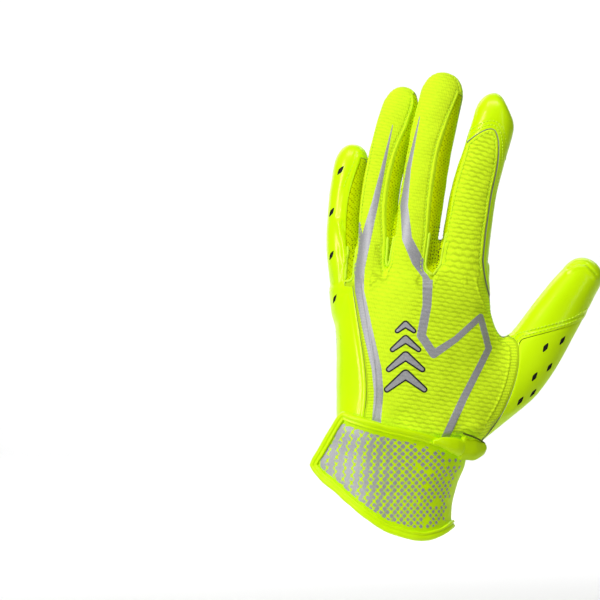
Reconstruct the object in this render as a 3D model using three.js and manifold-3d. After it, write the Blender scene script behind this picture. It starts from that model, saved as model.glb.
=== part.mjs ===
// A left-hand receiver glove, kept in the form that a hand gives it, with its fingers up.
// Millimetres. +Z runs up the fingers, +X to the thumb, and the back of the hand faces -Y.
// The origin is the centre of the wrist opening, level with the cuff's lowest point.
import * as THREE from "three";
import { mergeVertices } from "three/addons/utils/BufferGeometryUtils.js";
import Module from "manifold-3d";

const wasm = await Module();
wasm.setup();

// Driving sizes
const FINGER_LENGTH = 102; // middle finger, crotch to tip
const FINGER_WIDTH = 24; // middle finger, side to side
const FINGER_DEPTH = 18.6; // middle finger, back to front
const FINGER_CAP = 14.5; // length of a rounded fingertip
const FINGER_CURL = 7; // how far a fingertip leans towards the palm
const PALM_LENGTH = 110; // cuff seam to the crotch of the middle finger
const PALM_DEPTH = 34; // back to palm, at the middle of the hand
const KNUCKLE_ARCH = 11; // how far the little finger sits behind the middle one
const THUMB_LENGTH = 122; // wrist to tip, along the thumb
const THUMB_WIDTH = 26;
const THUMB_DEPTH = 22;
const THUMB_CAP = 12.5;
const WRIST_WIDTH = 66;
const WRIST_DEPTH = 44;
const CUFF_HEIGHT = 40; // cuff hem to the seam with the palm
const STRAP_RISE = 30; // how far the strap's free corner stands above the cuff seam
const FLAP_LENGTH = 23.4; // free end of the strap, from where it leaves the wrist
const WALL = 1.3; // palm leather and knit
const BAND_THICKNESS = 2.2; // foam-backed wrist band
const PATCH_THICKNESS = 1.2; // hook and loop between the strap and the band below it
const SEAM_GAP = 0.3; // between two sewn pieces
const GUSSET_WIDTH = 12; // finger gusset, from its back seam to its palm seam
const VENT_LENGTH = 4.4;
const VENT_WIDTH = 2.2;
const BINDING_WIDTH = 4.8; // edge binding, along the band's face
const BINDING_DEPTH = 5.4; // edge binding, through the band

// The four fingers. pitch is from the last finger's root, and size is the width, in finger widths.
// reach is in finger lengths, roll is how far the finger turns its back to the little-finger side,
// and drop, in finger depths, sets its root behind the knuckle arch.
const FINGERS = [
  { name: "little", pitch: 0, size: 0.78, thick: 0.9, reach: 0.72, crotch: -0.09, roll: 42, drop: 0.3 },
  { name: "ring", pitch: 0.612, size: 0.86, thick: 0.94, reach: 0.97, crotch: -0.04, roll: 22, drop: 0.08 },
  { name: "middle", pitch: 0.855, size: 1, thick: 1, reach: 1, crotch: 0, roll: 22, drop: 0 },
  { name: "index", pitch: 1.17, size: 1.03, thick: 0.98, reach: 0.9, crotch: -0.01, roll: 10, drop: 0 },
];
const LITTLE_ROOT = -24.6; // where the row of fingers starts, across from the wrist's centre

// Sideways lean of each finger, in shares of its own length, and its width there, in shares of its size
const LEANS = {
  little: [
    { along: -0.25, lean: 0.055, wide: 1.03 },
    { along: 0, lean: 0.012, wide: 1.02 },
    { along: 0.29, lean: -0.01, wide: 1.01 },
    { along: 0.58, lean: 0.007, wide: 1 },
    { along: 0.84, lean: 0.042, wide: 0.96 },
  ],
  ring: [
    { along: -0.2, lean: -0.01, wide: 1.03 },
    { along: 0, lean: 0, wide: 1.02 },
    { along: 0.16, lean: 0.019, wide: 1 },
    { along: 0.38, lean: 0.033, wide: 1 },
    { along: 0.65, lean: 0.084, wide: 0.98 },
    { along: 0.88, lean: 0.149, wide: 0.94 },
  ],
  middle: [
    { along: -0.2, lean: -0.02, wide: 1 },
    { along: 0, lean: 0, wide: 1 },
    { along: 0.18, lean: 0.031, wide: 1 },
    { along: 0.36, lean: 0.058, wide: 1 },
    { along: 0.61, lean: 0.1, wide: 0.98 },
    { along: 0.87, lean: 0.159, wide: 0.93 },
  ],
  index: [
    { along: -0.2, lean: -0.01, wide: 1.05 },
    { along: 0, lean: 0, wide: 1.04 },
    { along: 0.2, lean: 0.023, wide: 1.02 },
    { along: 0.44, lean: 0.064, wide: 0.98 },
    { along: 0.67, lean: 0.129, wide: 0.94 },
    { along: 0.87, lean: 0.168, wide: 0.92 },
  ],
};

// How a finger thins from its root to its tip, in shares of its own depth
const FINGER_THICKNESS = [
  { along: -0.2, thick: 1.22 },
  { along: 0.05, thick: 1.16 },
  { along: 0.3, thick: 1.02 },
  { along: 0.6, thick: 0.98 },
  { along: 0.9, thick: 0.93 },
];

// The thumb's line and size. along is in thumb lengths, up and across in thumb lengths from the cuff
// seam and the wrist's centre, deep in thumb depths, and wide and thick in the thumb's own sizes.
const THUMB = [
  { along: 0, across: 0.265, up: 0.115, deep: 0.1, wide: 1.3, thick: 1.36 },
  { along: 0.25, across: 0.447, up: 0.294, deep: 0.26, wide: 1.28, thick: 1.26 },
  { along: 0.5, across: 0.6, up: 0.464, deep: 0.41, wide: 1.17, thick: 1.09 },
  { along: 0.75, across: 0.72, up: 0.644, deep: 0.54, wide: 1.04, thick: 1 },
  { along: 1, across: 0.838, up: 0.816, deep: 0.62, wide: 0.82, thick: 0.9 },
];

// Sections of the hand above the cuff seam. up is in palm lengths, ulnar and thumb in palm widths
// from the wrist's centre, depth in palm depths, arch in knuckle arches, and rise, in palm lengths,
// is how much higher the thumb side of the section lies.
const HAND = [
  { up: 0.055, ulnar: 0.35, thumb: 0.52, depth: 1.2, arch: 0.05, rise: 0 },
  { up: 0.11, ulnar: 0.348, thumb: 0.59, depth: 1.17, arch: 0.1, rise: 0 },
  { up: 0.23, ulnar: 0.346, thumb: 0.62, depth: 1.1, arch: 0.25, rise: 0 },
  { up: 0.42, ulnar: 0.346, thumb: 0.66, depth: 1.03, arch: 0.45, rise: 0 },
  { up: 0.62, ulnar: 0.35, thumb: 0.672, depth: 0.98, arch: 0.7, rise: 0.02 },
  { up: 0.72, ulnar: 0.355, thumb: 0.636, depth: 0.94, arch: 0.85, rise: 0.05 },
  { up: 0.82, ulnar: 0.358, thumb: 0.606, depth: 0.88, arch: 1, rise: 0.08 },
  { up: 0.91, ulnar: 0.362, thumb: 0.594, depth: 0.78, arch: 1, rise: 0.1 },
  { up: 0.97, ulnar: 0.355, thumb: 0.588, depth: 0.62, arch: 1, rise: 0.11 },
  { up: 1.005, ulnar: 0.335, thumb: 0.575, depth: 0.32, arch: 1, rise: 0.11 },
];

// Half-widths of the wrist band from the wrist's centre. up is in cuff heights, and the others in
// wrist widths and wrist depths.
const WRIST = [
  { up: -0.2, ulnar: 0.5, thumb: 0.48, depth: 0.5 },
  { up: 0.1, ulnar: 0.505, thumb: 0.475, depth: 0.5 },
  { up: 0.45, ulnar: 0.505, thumb: 0.47, depth: 0.495 },
  { up: 0.75, ulnar: 0.5, thumb: 0.515, depth: 0.485 },
  { up: 1.05, ulnar: 0.495, thumb: 0.585, depth: 0.48 },
  { up: 1.6, ulnar: 0.48, thumb: 0.59, depth: 0.5 },
];

// Edges of the wrist band along its way round: from its inner end under the strap, by the
// little-finger side, the palm and the thumb side, to the strap on the back. turn is in degrees from
// the thumb side, and top and bottom are in cuff heights.
const BAND_ROUND = [
  { turn: 258, top: 0.97, bottom: 0.74 },
  { turn: 215, top: 0.98, bottom: 0.75 },
  { turn: 180, top: 1.0, bottom: 0.74 },
  { turn: 155, top: 0.99, bottom: 0.71 },
  { turn: 132, top: 0.98, bottom: 0.58 },
  { turn: 110, top: 0.98, bottom: 0.38 },
  { turn: 90, top: 0.98, bottom: 0.19 },
  { turn: 62, top: 1.0, bottom: 0.08 },
  { turn: 30, top: 1.02, bottom: 0.1 },
  { turn: 5, top: 1.07, bottom: 0.17 },
  { turn: -15, top: 1.17, bottom: 0.17 },
  { turn: -40, top: 1.27, bottom: 0.09 },
  { turn: -65, top: 1.39, bottom: 0.04 },
  { turn: -90, top: 1.5, bottom: 0.13 },
  { turn: -108, top: 1.58, bottom: 0.31 },
  { turn: -125, top: 1.65, bottom: 0.5 },
];

// Edges of the strap's free end. out is in flap lengths. top is in strap rises above the cuff seam
// and bottom in cuff heights.
const BAND_FLAP = [
  { out: 0.14, top: 0.9, bottom: 0.56 },
  { out: 0.24, top: 0.93, bottom: 0.61 },
  { out: 0.34, top: 0.87, bottom: 0.66 },
  { out: 0.5, top: 0.68, bottom: 0.73 },
  { out: 0.7, top: 0.42, bottom: 0.81 },
  { out: 0.85, top: 0.22, bottom: 0.9 },
  { out: 0.94, top: 0.12, bottom: 0.955 },
  { out: 1, top: 0.03, bottom: 1.0 },
];

// Outline of the knit back in the front view. across is in palm widths from the wrist's centre, and
// up in palm lengths above the cuff seam.
const BACK_OUTLINE = [
  { across: -0.195, up: -0.12 },
  { across: -0.19, up: 0.2 },
  { across: -0.163, up: 0.345 },
  { across: -0.175, up: 0.49 },
  { across: -0.21, up: 0.66 },
  { across: -0.265, up: 0.93 },
  { across: -0.22, up: 1.08 },
  { across: 0.57, up: 1.08 },
  { across: 0.578, up: 0.95 },
  { across: 0.62, up: 0.82 },
  { across: 0.7, up: 0.7 },
  { across: 0.735, up: 0.635 },
  { across: 0.805, up: 0.61 },
  { across: 0.812, up: 0.515 },
  { across: 0.787, up: 0.417 },
  { across: 0.742, up: 0.319 },
  { across: 0.68, up: 0.221 },
  { across: 0.61, up: 0.147 },
  { across: 0.5, up: 0.06 },
  { across: 0.45, up: -0.12 },
];
// The knit back's arch on the index finger. across is in index widths from its line, and up in
// shares of its length.
const INDEX_ARCH = [
  { across: -0.62, up: 0.62 },
  { across: -0.3, up: 0.735 },
  { across: 0.02, up: 0.79 },
  { across: 0.26, up: 0.72 },
  { across: 0.37, up: 0.6 },
  { across: 0.39, up: 0.4 },
  { across: 0.38, up: 0.1 },
  { across: 0.4, up: -0.12 },
  { across: -0.62, up: -0.12 },
];
// Outline of the thumb's vented back, in the same measures as the knit back's
const THUMB_OUTLINE = [
  { across: 0.45, up: -0.12 },
  { across: 0.5, up: 0.06 },
  { across: 0.61, up: 0.147 },
  { across: 0.68, up: 0.221 },
  { across: 0.742, up: 0.319 },
  { across: 0.787, up: 0.417 },
  { across: 0.812, up: 0.515 },
  { across: 0.805, up: 0.61 },
  { across: 0.878, up: 0.628 },
  { across: 1.005, up: 0.655 },
  { across: 1.132, up: 0.684 },
  { across: 1.22, up: 0.72 },
  { across: 1.32, up: 0.78 },
  { across: 1.32, up: 0.3 },
  { across: 0.9, up: -0.12 },
];
// Vents. across and up are in palm widths and palm lengths, as above, and facing is the turn of the
// hole's own line from straight at the back towards the thumb.
const VENTS = [
  { across: 0.957, up: 0.576, facing: 10 },
  { across: 0.882, up: 0.442, facing: 10 },
  { across: 0.79, up: 0.318, facing: 10 },
  { across: 1.062, up: 0.613, facing: 40 },
  { across: 0.975, up: 0.483, facing: 40 },
  { across: 0.873, up: 0.355, facing: 40 },
  { across: -0.325, up: 1.455, facing: -25 },
  { across: -0.38, up: 1.25, facing: -55 },
  { across: -0.385, up: 1.03, facing: -55 },
  { across: -0.365, up: 0.815, facing: -55 },
  { across: -0.35, up: 0.58, facing: -55 },
];

// How finely the solids are made
const FINGER_SIDES = 12;
const HAND_SIDES = 26;
const FINGER_STEPS = 6;
const CAP_STEPS = 3;
const BAND_ROWS = 3;
const CUT_MARGIN = 0.5; // how far a cutter passes the wall that it cuts
const FINEST_EDGE = 0.1; // shorter edges that a cut leaves are closed up

const rad = THREE.MathUtils.degToRad;
const clamp = THREE.MathUtils.clamp;
const lerp = THREE.MathUtils.lerp;
const vec = (x, y, z) => new THREE.Vector3(x, y, z);

// A column of a table at a place between its rows, on a smooth curve through them
function between(rows, place, column, at) {
  const last = rows.length - 1;
  const forward = rows[last][place] > rows[0][place] ? 1 : -1;
  const far = (row) => (row[place] - at) * forward;
  if (far(rows[0]) >= 0) return rows[0][column];
  if (far(rows[last]) <= 0) return rows[last][column];
  const i = rows.findIndex((row) => far(row) > 0) - 1;
  const slope = (k) => {
    const before = rows[Math.max(k - 1, 0)];
    const after = rows[Math.min(k + 1, last)];
    return (after[column] - before[column]) / (after[place] - before[place]);
  };
  const span = rows[i + 1][place] - rows[i][place];
  const s = (at - rows[i][place]) / span;
  const [from, to] = [rows[i][column], rows[i + 1][column]];
  return (
    from * (2 * s ** 3 - 3 * s ** 2 + 1) +
    to * (3 * s ** 2 - 2 * s ** 3) +
    span * slope(i) * (s ** 3 - 2 * s ** 2 + s) +
    span * slope(i + 1) * (s ** 3 - s ** 2)
  );
}

// Sizes that follow from the driving ones
const fingerRoots = [];
for (const finger of FINGERS) {
  const last = fingerRoots.at(-1) ?? LITTLE_ROOT;
  fingerRoots.push(last + finger.pitch * FINGER_WIDTH);
}
const PALM_WIDTH = fingerRoots[3] - fingerRoots[0] + FINGER_WIDTH * 0.9;
const CROTCH_HEIGHT = CUFF_HEIGHT + PALM_LENGTH;
const ARCH_CENTRE = lerp(fingerRoots[2], fingerRoots[3], 0.3);
const SKIRT_HEIGHT = CUFF_HEIGHT * 0.885; // the hand's lower edge, inside the band

// How far behind the wrist's middle plane the hand's own middle lies
function handMiddle(x, z) {
  const up = clamp((z - CUFF_HEIGHT) / PALM_LENGTH, 0, 1);
  const share = between(HAND, "up", "arch", up);
  const out = (x - ARCH_CENTRE) / (fingerRoots[0] - ARCH_CENTRE);
  return KNUCKLE_ARCH * share * out * out;
}

// A closed solid through rings of as many points each, with a fan over both ends
function loft(rings) {
  const sides = rings[0].length;
  const points = rings.flat();
  const faces = [];
  for (let r = 0; r + 1 < rings.length; r++) {
    for (let s = 0; s < sides; s++) {
      const [a, b] = [r * sides + s, r * sides + ((s + 1) % sides)];
      faces.push(a, b, b + sides, a, b + sides, a + sides);
    }
  }
  const middleOf = (ring) => ring.reduce((sum, p) => sum.add(p), vec(0, 0, 0)).divideScalar(sides);
  points.push(middleOf(rings[0]), middleOf(rings.at(-1)));
  const top = (rings.length - 1) * sides;
  for (let s = 0; s < sides; s++) {
    const next = (s + 1) % sides;
    faces.push(next, s, points.length - 2);
    faces.push(top + s, top + next, points.length - 1);
  }
  const geometry = new THREE.BufferGeometry().setFromPoints(points);
  geometry.setIndex(faces);
  return geometry;
}

function solidOf(geometry) {
  const bare = new THREE.BufferGeometry();
  bare.setAttribute("position", geometry.getAttribute("position"));
  bare.setIndex(geometry.getIndex());
  const merged = mergeVertices(bare, 1e-4);
  return new wasm.Manifold(
    new wasm.Mesh({
      numProp: 3,
      vertProperties: new Float32Array(merged.attributes.position.array),
      triVerts: new Uint32Array(merged.index.array),
    }),
  );
}

const join = (solids) => solids.reduce((sum, solid) => sum.add(solid));

// A finger's line, its two directions across and its half sizes, at a share of its length
function fingerAt(index, along) {
  const finger = FINGERS[index];
  const length = finger.reach * FINGER_LENGTH;
  const root = CROTCH_HEIGHT + finger.crotch * PALM_LENGTH;
  const place = (share) => {
    const lean = between(LEANS[finger.name], "along", "lean", share);
    const x = fingerRoots[index] + lean * length;
    const curl = FINGER_CURL * Math.max(share, 0) ** 2;
    const y = handMiddle(fingerRoots[index], CROTCH_HEIGHT) + finger.drop * FINGER_DEPTH + curl;
    return vec(x, y, root + share * length);
  };
  const step = 0.02;
  const tangent = place(along + step).sub(place(along - step)).normalize();
  const across = vec(0, 1, 0).cross(tangent).normalize();
  return {
    centre: place(along),
    tangent,
    across,
    deep: tangent.clone().cross(across),
    halfWidth: (finger.size * FINGER_WIDTH * between(LEANS[finger.name], "along", "wide", along)) / 2,
    halfDepth: (finger.thick * FINGER_DEPTH * between(FINGER_THICKNESS, "along", "thick", along)) / 2,
    cap: FINGER_CAP,
  };
}

// The same for the thumb
function thumbAt(along) {
  const place = (share) =>
    vec(
      between(THUMB, "along", "across", share) * THUMB_LENGTH,
      between(THUMB, "along", "deep", share) * THUMB_DEPTH,
      CUFF_HEIGHT + between(THUMB, "along", "up", share) * THUMB_LENGTH,
    );
  const step = 0.02;
  const [after, before] = [clamp(along + step, 0, 1), clamp(along - step, 0, 1)];
  const tangent = place(after).sub(place(before)).normalize();
  const across = vec(0, 1, 0).cross(tangent).normalize();
  return {
    centre: place(along),
    tangent,
    across,
    deep: tangent.clone().cross(across),
    halfWidth: (THUMB_WIDTH * between(THUMB, "along", "wide", along)) / 2,
    halfDepth: (THUMB_DEPTH * between(THUMB, "along", "thick", along)) / 2,
    cap: THUMB_CAP,
  };
}

// A finger-shaped solid along stations from first to last, with a blunt round tip. inset makes the
// hollow inside it.
function fingerSolid(at, first, last, inset) {
  const blunt = 2.25;
  const ringAt = (station, centre, share) => {
    const [a, b] = [station.halfWidth - inset, station.halfDepth - inset];
    return Array.from({ length: FINGER_SIDES }, (_, side) => {
      const angle = (2 * Math.PI * (side + 0.5)) / FINGER_SIDES;
      return centre
        .clone()
        .addScaledVector(station.across, a * share * Math.cos(angle))
        .addScaledVector(station.deep, b * share * Math.sin(angle));
    });
  };
  const rings = [];
  for (let i = 0; i <= FINGER_STEPS; i++) {
    const station = at(lerp(first, last, i / FINGER_STEPS));
    rings.push(ringAt(station, station.centre, 1));
  }
  const end = at(last);
  for (let i = 1; i <= CAP_STEPS; i++) {
    const turn = (Math.PI / 2) * (i / (CAP_STEPS + 0.35));
    const rise = Math.sin(turn) ** (2 / blunt) * (end.cap - inset);
    const centre = end.centre.clone().addScaledVector(end.tangent, rise);
    rings.push(ringAt(end, centre, Math.cos(turn) ** (2 / blunt)));
  }
  return solidOf(loft(rings));
}

// A closed ring with rounded corners, by its half-widths to each side and its half-depth
function roundedRing(z, ulnar, thumb, depth, shift, power) {
  return Array.from({ length: HAND_SIDES }, (_, side) => {
    const angle = (2 * Math.PI * (side + 0.5)) / HAND_SIDES;
    const [c, s] = [Math.cos(angle), Math.sin(angle)];
    const x = Math.sign(c) * Math.abs(c) ** (2 / power) * (c > 0 ? thumb : ulnar);
    const y = Math.sign(s) * Math.abs(s) ** (2 / power) * depth;
    const moved = shift(x);
    return vec(x, y + moved.y, z + moved.z);
  });
}

const WRIST_POWER = 2.2;
const HAND_POWER = 2.5;

function wristRing(z, inset) {
  const up = z / CUFF_HEIGHT;
  return roundedRing(
    z,
    between(WRIST, "up", "ulnar", up) * WRIST_WIDTH - inset,
    between(WRIST, "up", "thumb", up) * WRIST_WIDTH - inset,
    between(WRIST, "up", "depth", up) * WRIST_DEPTH - inset,
    () => ({ y: 0, z: 0 }),
    WRIST_POWER,
  );
}

// The hand from its skirt inside the band up to the crotches
function handSolid(inset) {
  const skirt = BAND_THICKNESS / 2 + SEAM_GAP + inset;
  const lowest = inset > 0 ? SKIRT_HEIGHT - CUFF_HEIGHT * 0.2 : SKIRT_HEIGHT;
  const rings = [wristRing(lowest, skirt), wristRing(CUFF_HEIGHT * 0.97, skirt)];
  for (const row of HAND) {
    const z = CUFF_HEIGHT + row.up * PALM_LENGTH;
    const [left, right] = [row.ulnar * PALM_WIDTH - inset, row.thumb * PALM_WIDTH - inset];
    const shift = (x) => ({
      y: handMiddle(x, z),
      z: (row.rise * PALM_LENGTH * (x - right)) / (left + right) - (row.up > 0.9 ? inset : 0),
    });
    const depth = Math.max((row.depth * PALM_DEPTH) / 2 - inset, inset);
    rings.push(roundedRing(z, left, right, depth, shift, HAND_POWER));
  }
  return solidOf(loft(rings));
}

const FINGER_START = -0.2;
const FINGER_END = 0.87;
const GUSSET_END = 0.9;
const PAST_TIP = 1.04;

function gloveSolid(inset) {
  const parts = [handSolid(inset), fingerSolid(thumbAt, 0, 1, inset)];
  for (let i = 0; i < FINGERS.length; i++) {
    const length = FINGERS[i].reach * FINGER_LENGTH;
    const end = 1 - FINGER_CAP / length;
    parts.push(fingerSolid((along) => fingerAt(i, along), FINGER_START, end, inset));
  }
  return join(parts);
}

// Cutters. grow moves every face out, so that a piece cut with -SEAM_GAP / 2 and its neighbour cut
// with +SEAM_GAP / 2 lie a seam gap apart.
function slab(index, last, from, to, grow) {
  const roll = rad(FINGERS[index].roll);
  const length = FINGERS[index].reach * FINGER_LENGTH;
  const rings = [];
  for (let i = 0; i <= FINGER_STEPS; i++) {
    const along = lerp(FINGER_START / 2, last, i / FINGER_STEPS);
    const station = fingerAt(index, Math.min(along, FINGER_END));
    const centre = station.centre.addScaledVector(station.tangent, Math.max(along - FINGER_END, 0) * length);
    const u = station.across.clone().multiplyScalar(Math.cos(roll)).addScaledVector(station.deep, -Math.sin(roll));
    const v = station.deep.clone().multiplyScalar(Math.cos(roll)).addScaledVector(station.across, Math.sin(roll));
    const [near, far] = [from(station, along), to(station, along)];
    const corner = (a, b) => centre.clone().addScaledVector(u, a).addScaledVector(v, b);
    rings.push([
      corner(near.u - grow, near.v - grow),
      corner(far.u + grow, near.v - grow),
      corner(far.u + grow, far.v + grow),
      corner(near.u - grow, far.v + grow),
    ]);
  }
  return solidOf(loft(rings));
}

// Half the gusset's width at a share of the finger's length: it narrows towards the fingertip
const gussetHalf = (along) => (GUSSET_WIDTH / 2) * clamp(1 - Math.max(along - 0.5, 0) ** 2 * 4, 0.3, 1);

function gussetSide(index, side, grow) {
  const wide = (station) => station.halfWidth + CUT_MARGIN;
  return slab(
    index,
    GUSSET_END,
    (station, along) => ({ u: side > 0 ? 0 : -wide(station), v: -gussetHalf(along) }),
    (station, along) => ({ u: side > 0 ? wide(station) : 0, v: gussetHalf(along) }),
    grow,
  );
}

// The gusset's foot, across the crotch between a finger and the next
function gussetFoot(index, grow) {
  const rings = [index, index + 1].map((which, end) => {
    const station = fingerAt(which, 0.03);
    const roll = rad(FINGERS[which].roll) * (end ? -0.3 : 0.3);
    const v = station.deep.clone().multiplyScalar(Math.cos(roll)).addScaledVector(station.across, Math.sin(roll));
    const half = (GUSSET_WIDTH / 2) * 0.85 + grow;
    const tall = PALM_LENGTH * 0.08 + grow;
    const corner = (a, b) => station.centre.clone().addScaledVector(v, a).addScaledVector(station.tangent, b);
    const middle = station.centre;
    middle.addScaledVector(station.across, (end ? -1 : 1) * station.halfWidth * 0.35);
    return [corner(-half, -tall), corner(half, -tall), corner(half, tall), corner(-half, tall)];
  });
  return solidOf(loft(rings));
}

const gusset = (index, grow) =>
  join([gussetSide(index, 1, grow), gussetSide(index + 1, -1, grow), gussetFoot(index, grow)]);

// A cutter with an outline in the front view, between two depths
function prism(outline, front, back, grow) {
  const flat = outline.map((p) => new THREE.Vector2(p.x, p.z));
  const area = THREE.ShapeUtils.area(flat);
  const ordered = area > 0 ? flat : flat.reverse();
  const count = ordered.length;
  const moved = ordered.map((p, i) => {
    const [before, after] = [ordered[(i + count - 1) % count], ordered[(i + 1) % count]];
    const [e, f] = [p.clone().sub(before).normalize(), after.clone().sub(p).normalize()];
    const normal = vec(e.y + f.y, -(e.x + f.x), 0).normalize();
    return new THREE.Vector2(p.x + normal.x * grow, p.y + normal.y * grow);
  });
  const points = [
    ...moved.map((p) => vec(p.x, back(p.x, p.y) + grow, p.y)),
    ...moved.map((p) => vec(p.x, front, p.y)),
  ];
  const faces = [];
  for (let i = 0; i < count; i++) {
    const j = (i + 1) % count;
    faces.push(i, j, j + count, i, j + count, i + count);
  }
  for (const [a, b, c] of THREE.ShapeUtils.triangulateShape(moved, [])) {
    faces.push(a, c, b, a + count, b + count, c + count);
  }
  const geometry = new THREE.BufferGeometry().setFromPoints(points);
  geometry.setIndex(faces);
  return solidOf(geometry);
}

const FRONT = -PALM_DEPTH * 2;
const handPlace = (row) => ({ x: row.across * PALM_WIDTH, z: CUFF_HEIGHT + row.up * PALM_LENGTH });

// The knit back: the back of the hand, the backs of the ring and middle fingers, and the index
// finger's up to its arch
function backCutter(grow) {
  const parts = [prism(BACK_OUTLINE.map(handPlace), FRONT, handMiddle, grow)];
  for (const index of [1, 2]) {
    const wide = (station) => station.halfWidth + CUT_MARGIN;
    const deep = (station) => station.halfDepth + CUT_MARGIN;
    parts.push(
      slab(
        index,
        PAST_TIP,
        (station) => ({ u: -wide(station), v: -deep(station) }),
        (station) => ({ u: wide(station), v: 0 }),
        grow,
      ),
    );
  }
  const index = 3;
  const arch = INDEX_ARCH.map((row) => {
    const station = fingerAt(index, row.up);
    return {
      x: station.centre.x + row.across * 2 * station.halfWidth,
      z: station.centre.z,
    };
  });
  const indexMiddle = (x, z) => {
    const along = (z - CROTCH_HEIGHT) / (FINGERS[index].reach * FINGER_LENGTH);
    return fingerAt(index, along).centre.y;
  };
  parts.push(prism(arch, FRONT, indexMiddle, grow));
  return join(parts);
}

// The thumb's vented back, in front of the thumb's own middle
function thumbCutter(grow) {
  const middle = (x, z) => {
    const along = clamp((x / THUMB_LENGTH - 0.25) / (0.82 - 0.25), 0, 1);
    return thumbAt(along).centre.y + THUMB_DEPTH * 0.08;
  };
  return prism(THUMB_OUTLINE.map(handPlace), FRONT, middle, grow);
}

// A diamond-shaped hole through one wall
function ventCutter(vent) {
  const shape = new THREE.Shape([
    new THREE.Vector2(-VENT_WIDTH / 2, -VENT_LENGTH * 0.06),
    new THREE.Vector2(-VENT_WIDTH * 0.05, -VENT_LENGTH / 2),
    new THREE.Vector2(VENT_WIDTH / 2, VENT_LENGTH * 0.06),
    new THREE.Vector2(VENT_WIDTH * 0.05, VENT_LENGTH / 2),
  ]);
  const reach = PALM_DEPTH;
  const geometry = new THREE.ExtrudeGeometry(shape, { depth: reach, bevelEnabled: false });
  geometry.rotateZ(rad(-20));
  geometry.rotateX(rad(90));
  geometry.rotateZ(rad(vent.facing));
  const place = handPlace(vent);
  geometry.translate(place.x, ventDepth(place), place.z);
  return solidOf(indexed(geometry));
}

const indexed = (geometry) => {
  const bare = new THREE.BufferGeometry();
  bare.setAttribute("position", geometry.getAttribute("position"));
  return mergeVertices(bare, 1e-4);
};

// How deep a vent's hole starts: on the middle of the thumb, the little finger or the hand
function ventDepth(place) {
  if (place.x > PALM_WIDTH / 2) {
    const along = clamp((place.x / THUMB_LENGTH - 0.25) / (0.82 - 0.25), 0, 1);
    return thumbAt(along).centre.y;
  }
  if (place.z > CROTCH_HEIGHT) {
    const along = (place.z - CROTCH_HEIGHT) / (FINGERS[0].reach * FINGER_LENGTH);
    return fingerAt(0, along).centre.y;
  }
  return handMiddle(place.x, place.z);
}

// The wrist band's plan: round the wrist from its inner end, then straight out along the flap
const FLAP_TURN = BAND_ROUND.at(-1).turn;
const OVERLAP_LIFT = BAND_THICKNESS + PATCH_THICKNESS + 2 * SEAM_GAP;

function bandPoint(turn, out, z, lift) {
  const up = z / CUFF_HEIGHT;
  const round = (degrees) => {
    const [c, s] = [Math.cos(rad(degrees)), Math.sin(rad(degrees))];
    const side = c > 0 ? "thumb" : "ulnar";
    return vec(
      Math.sign(c) * Math.abs(c) ** (2 / WRIST_POWER) * between(WRIST, "up", side, up) * WRIST_WIDTH,
      Math.sign(s) * Math.abs(s) ** (2 / WRIST_POWER) * between(WRIST, "up", "depth", up) * WRIST_DEPTH,
      z,
    );
  };
  const climb = THREE.MathUtils.smoothstep(-turn, 15, -FLAP_TURN - 12) * OVERLAP_LIFT;
  const along = round(turn - 0.5).sub(round(turn + 0.5)).normalize();
  const normal = vec(-along.y, along.x, 0);
  const point = round(turn).addScaledVector(normal, climb + lift);
  return point.addScaledVector(along, out);
}

// The band's stations along its way, each with its two edges
function bandStations() {
  const stations = [];
  const step = 8;
  const count = Math.round((BAND_ROUND[0].turn - FLAP_TURN) / step);
  for (let i = 0; i <= count; i++) {
    const turn = lerp(BAND_ROUND[0].turn, FLAP_TURN, i / count);
    stations.push({
      turn,
      out: 0,
      top: between(BAND_ROUND, "turn", "top", turn) * CUFF_HEIGHT,
      bottom: between(BAND_ROUND, "turn", "bottom", turn) * CUFF_HEIGHT,
    });
  }
  for (const row of BAND_FLAP) {
    stations.push({
      turn: FLAP_TURN,
      out: row.out * FLAP_LENGTH,
      top: CUFF_HEIGHT + row.top * STRAP_RISE,
      bottom: row.bottom * CUFF_HEIGHT,
    });
  }
  return stations;
}

// A sheet on the band's way, between two edges
function bandSheet(stations, thickness, lift, rows) {
  const rings = stations.map((station) => {
    const heights = Array.from({ length: rows + 1 }, (_, i) => lerp(station.bottom, station.top, i / rows));
    const face = (side) => heights.map((z) => bandPoint(station.turn, station.out, z, lift + (side * thickness) / 2));
    return [...face(1), ...face(-1).reverse()];
  });
  return loft(rings);
}

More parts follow.
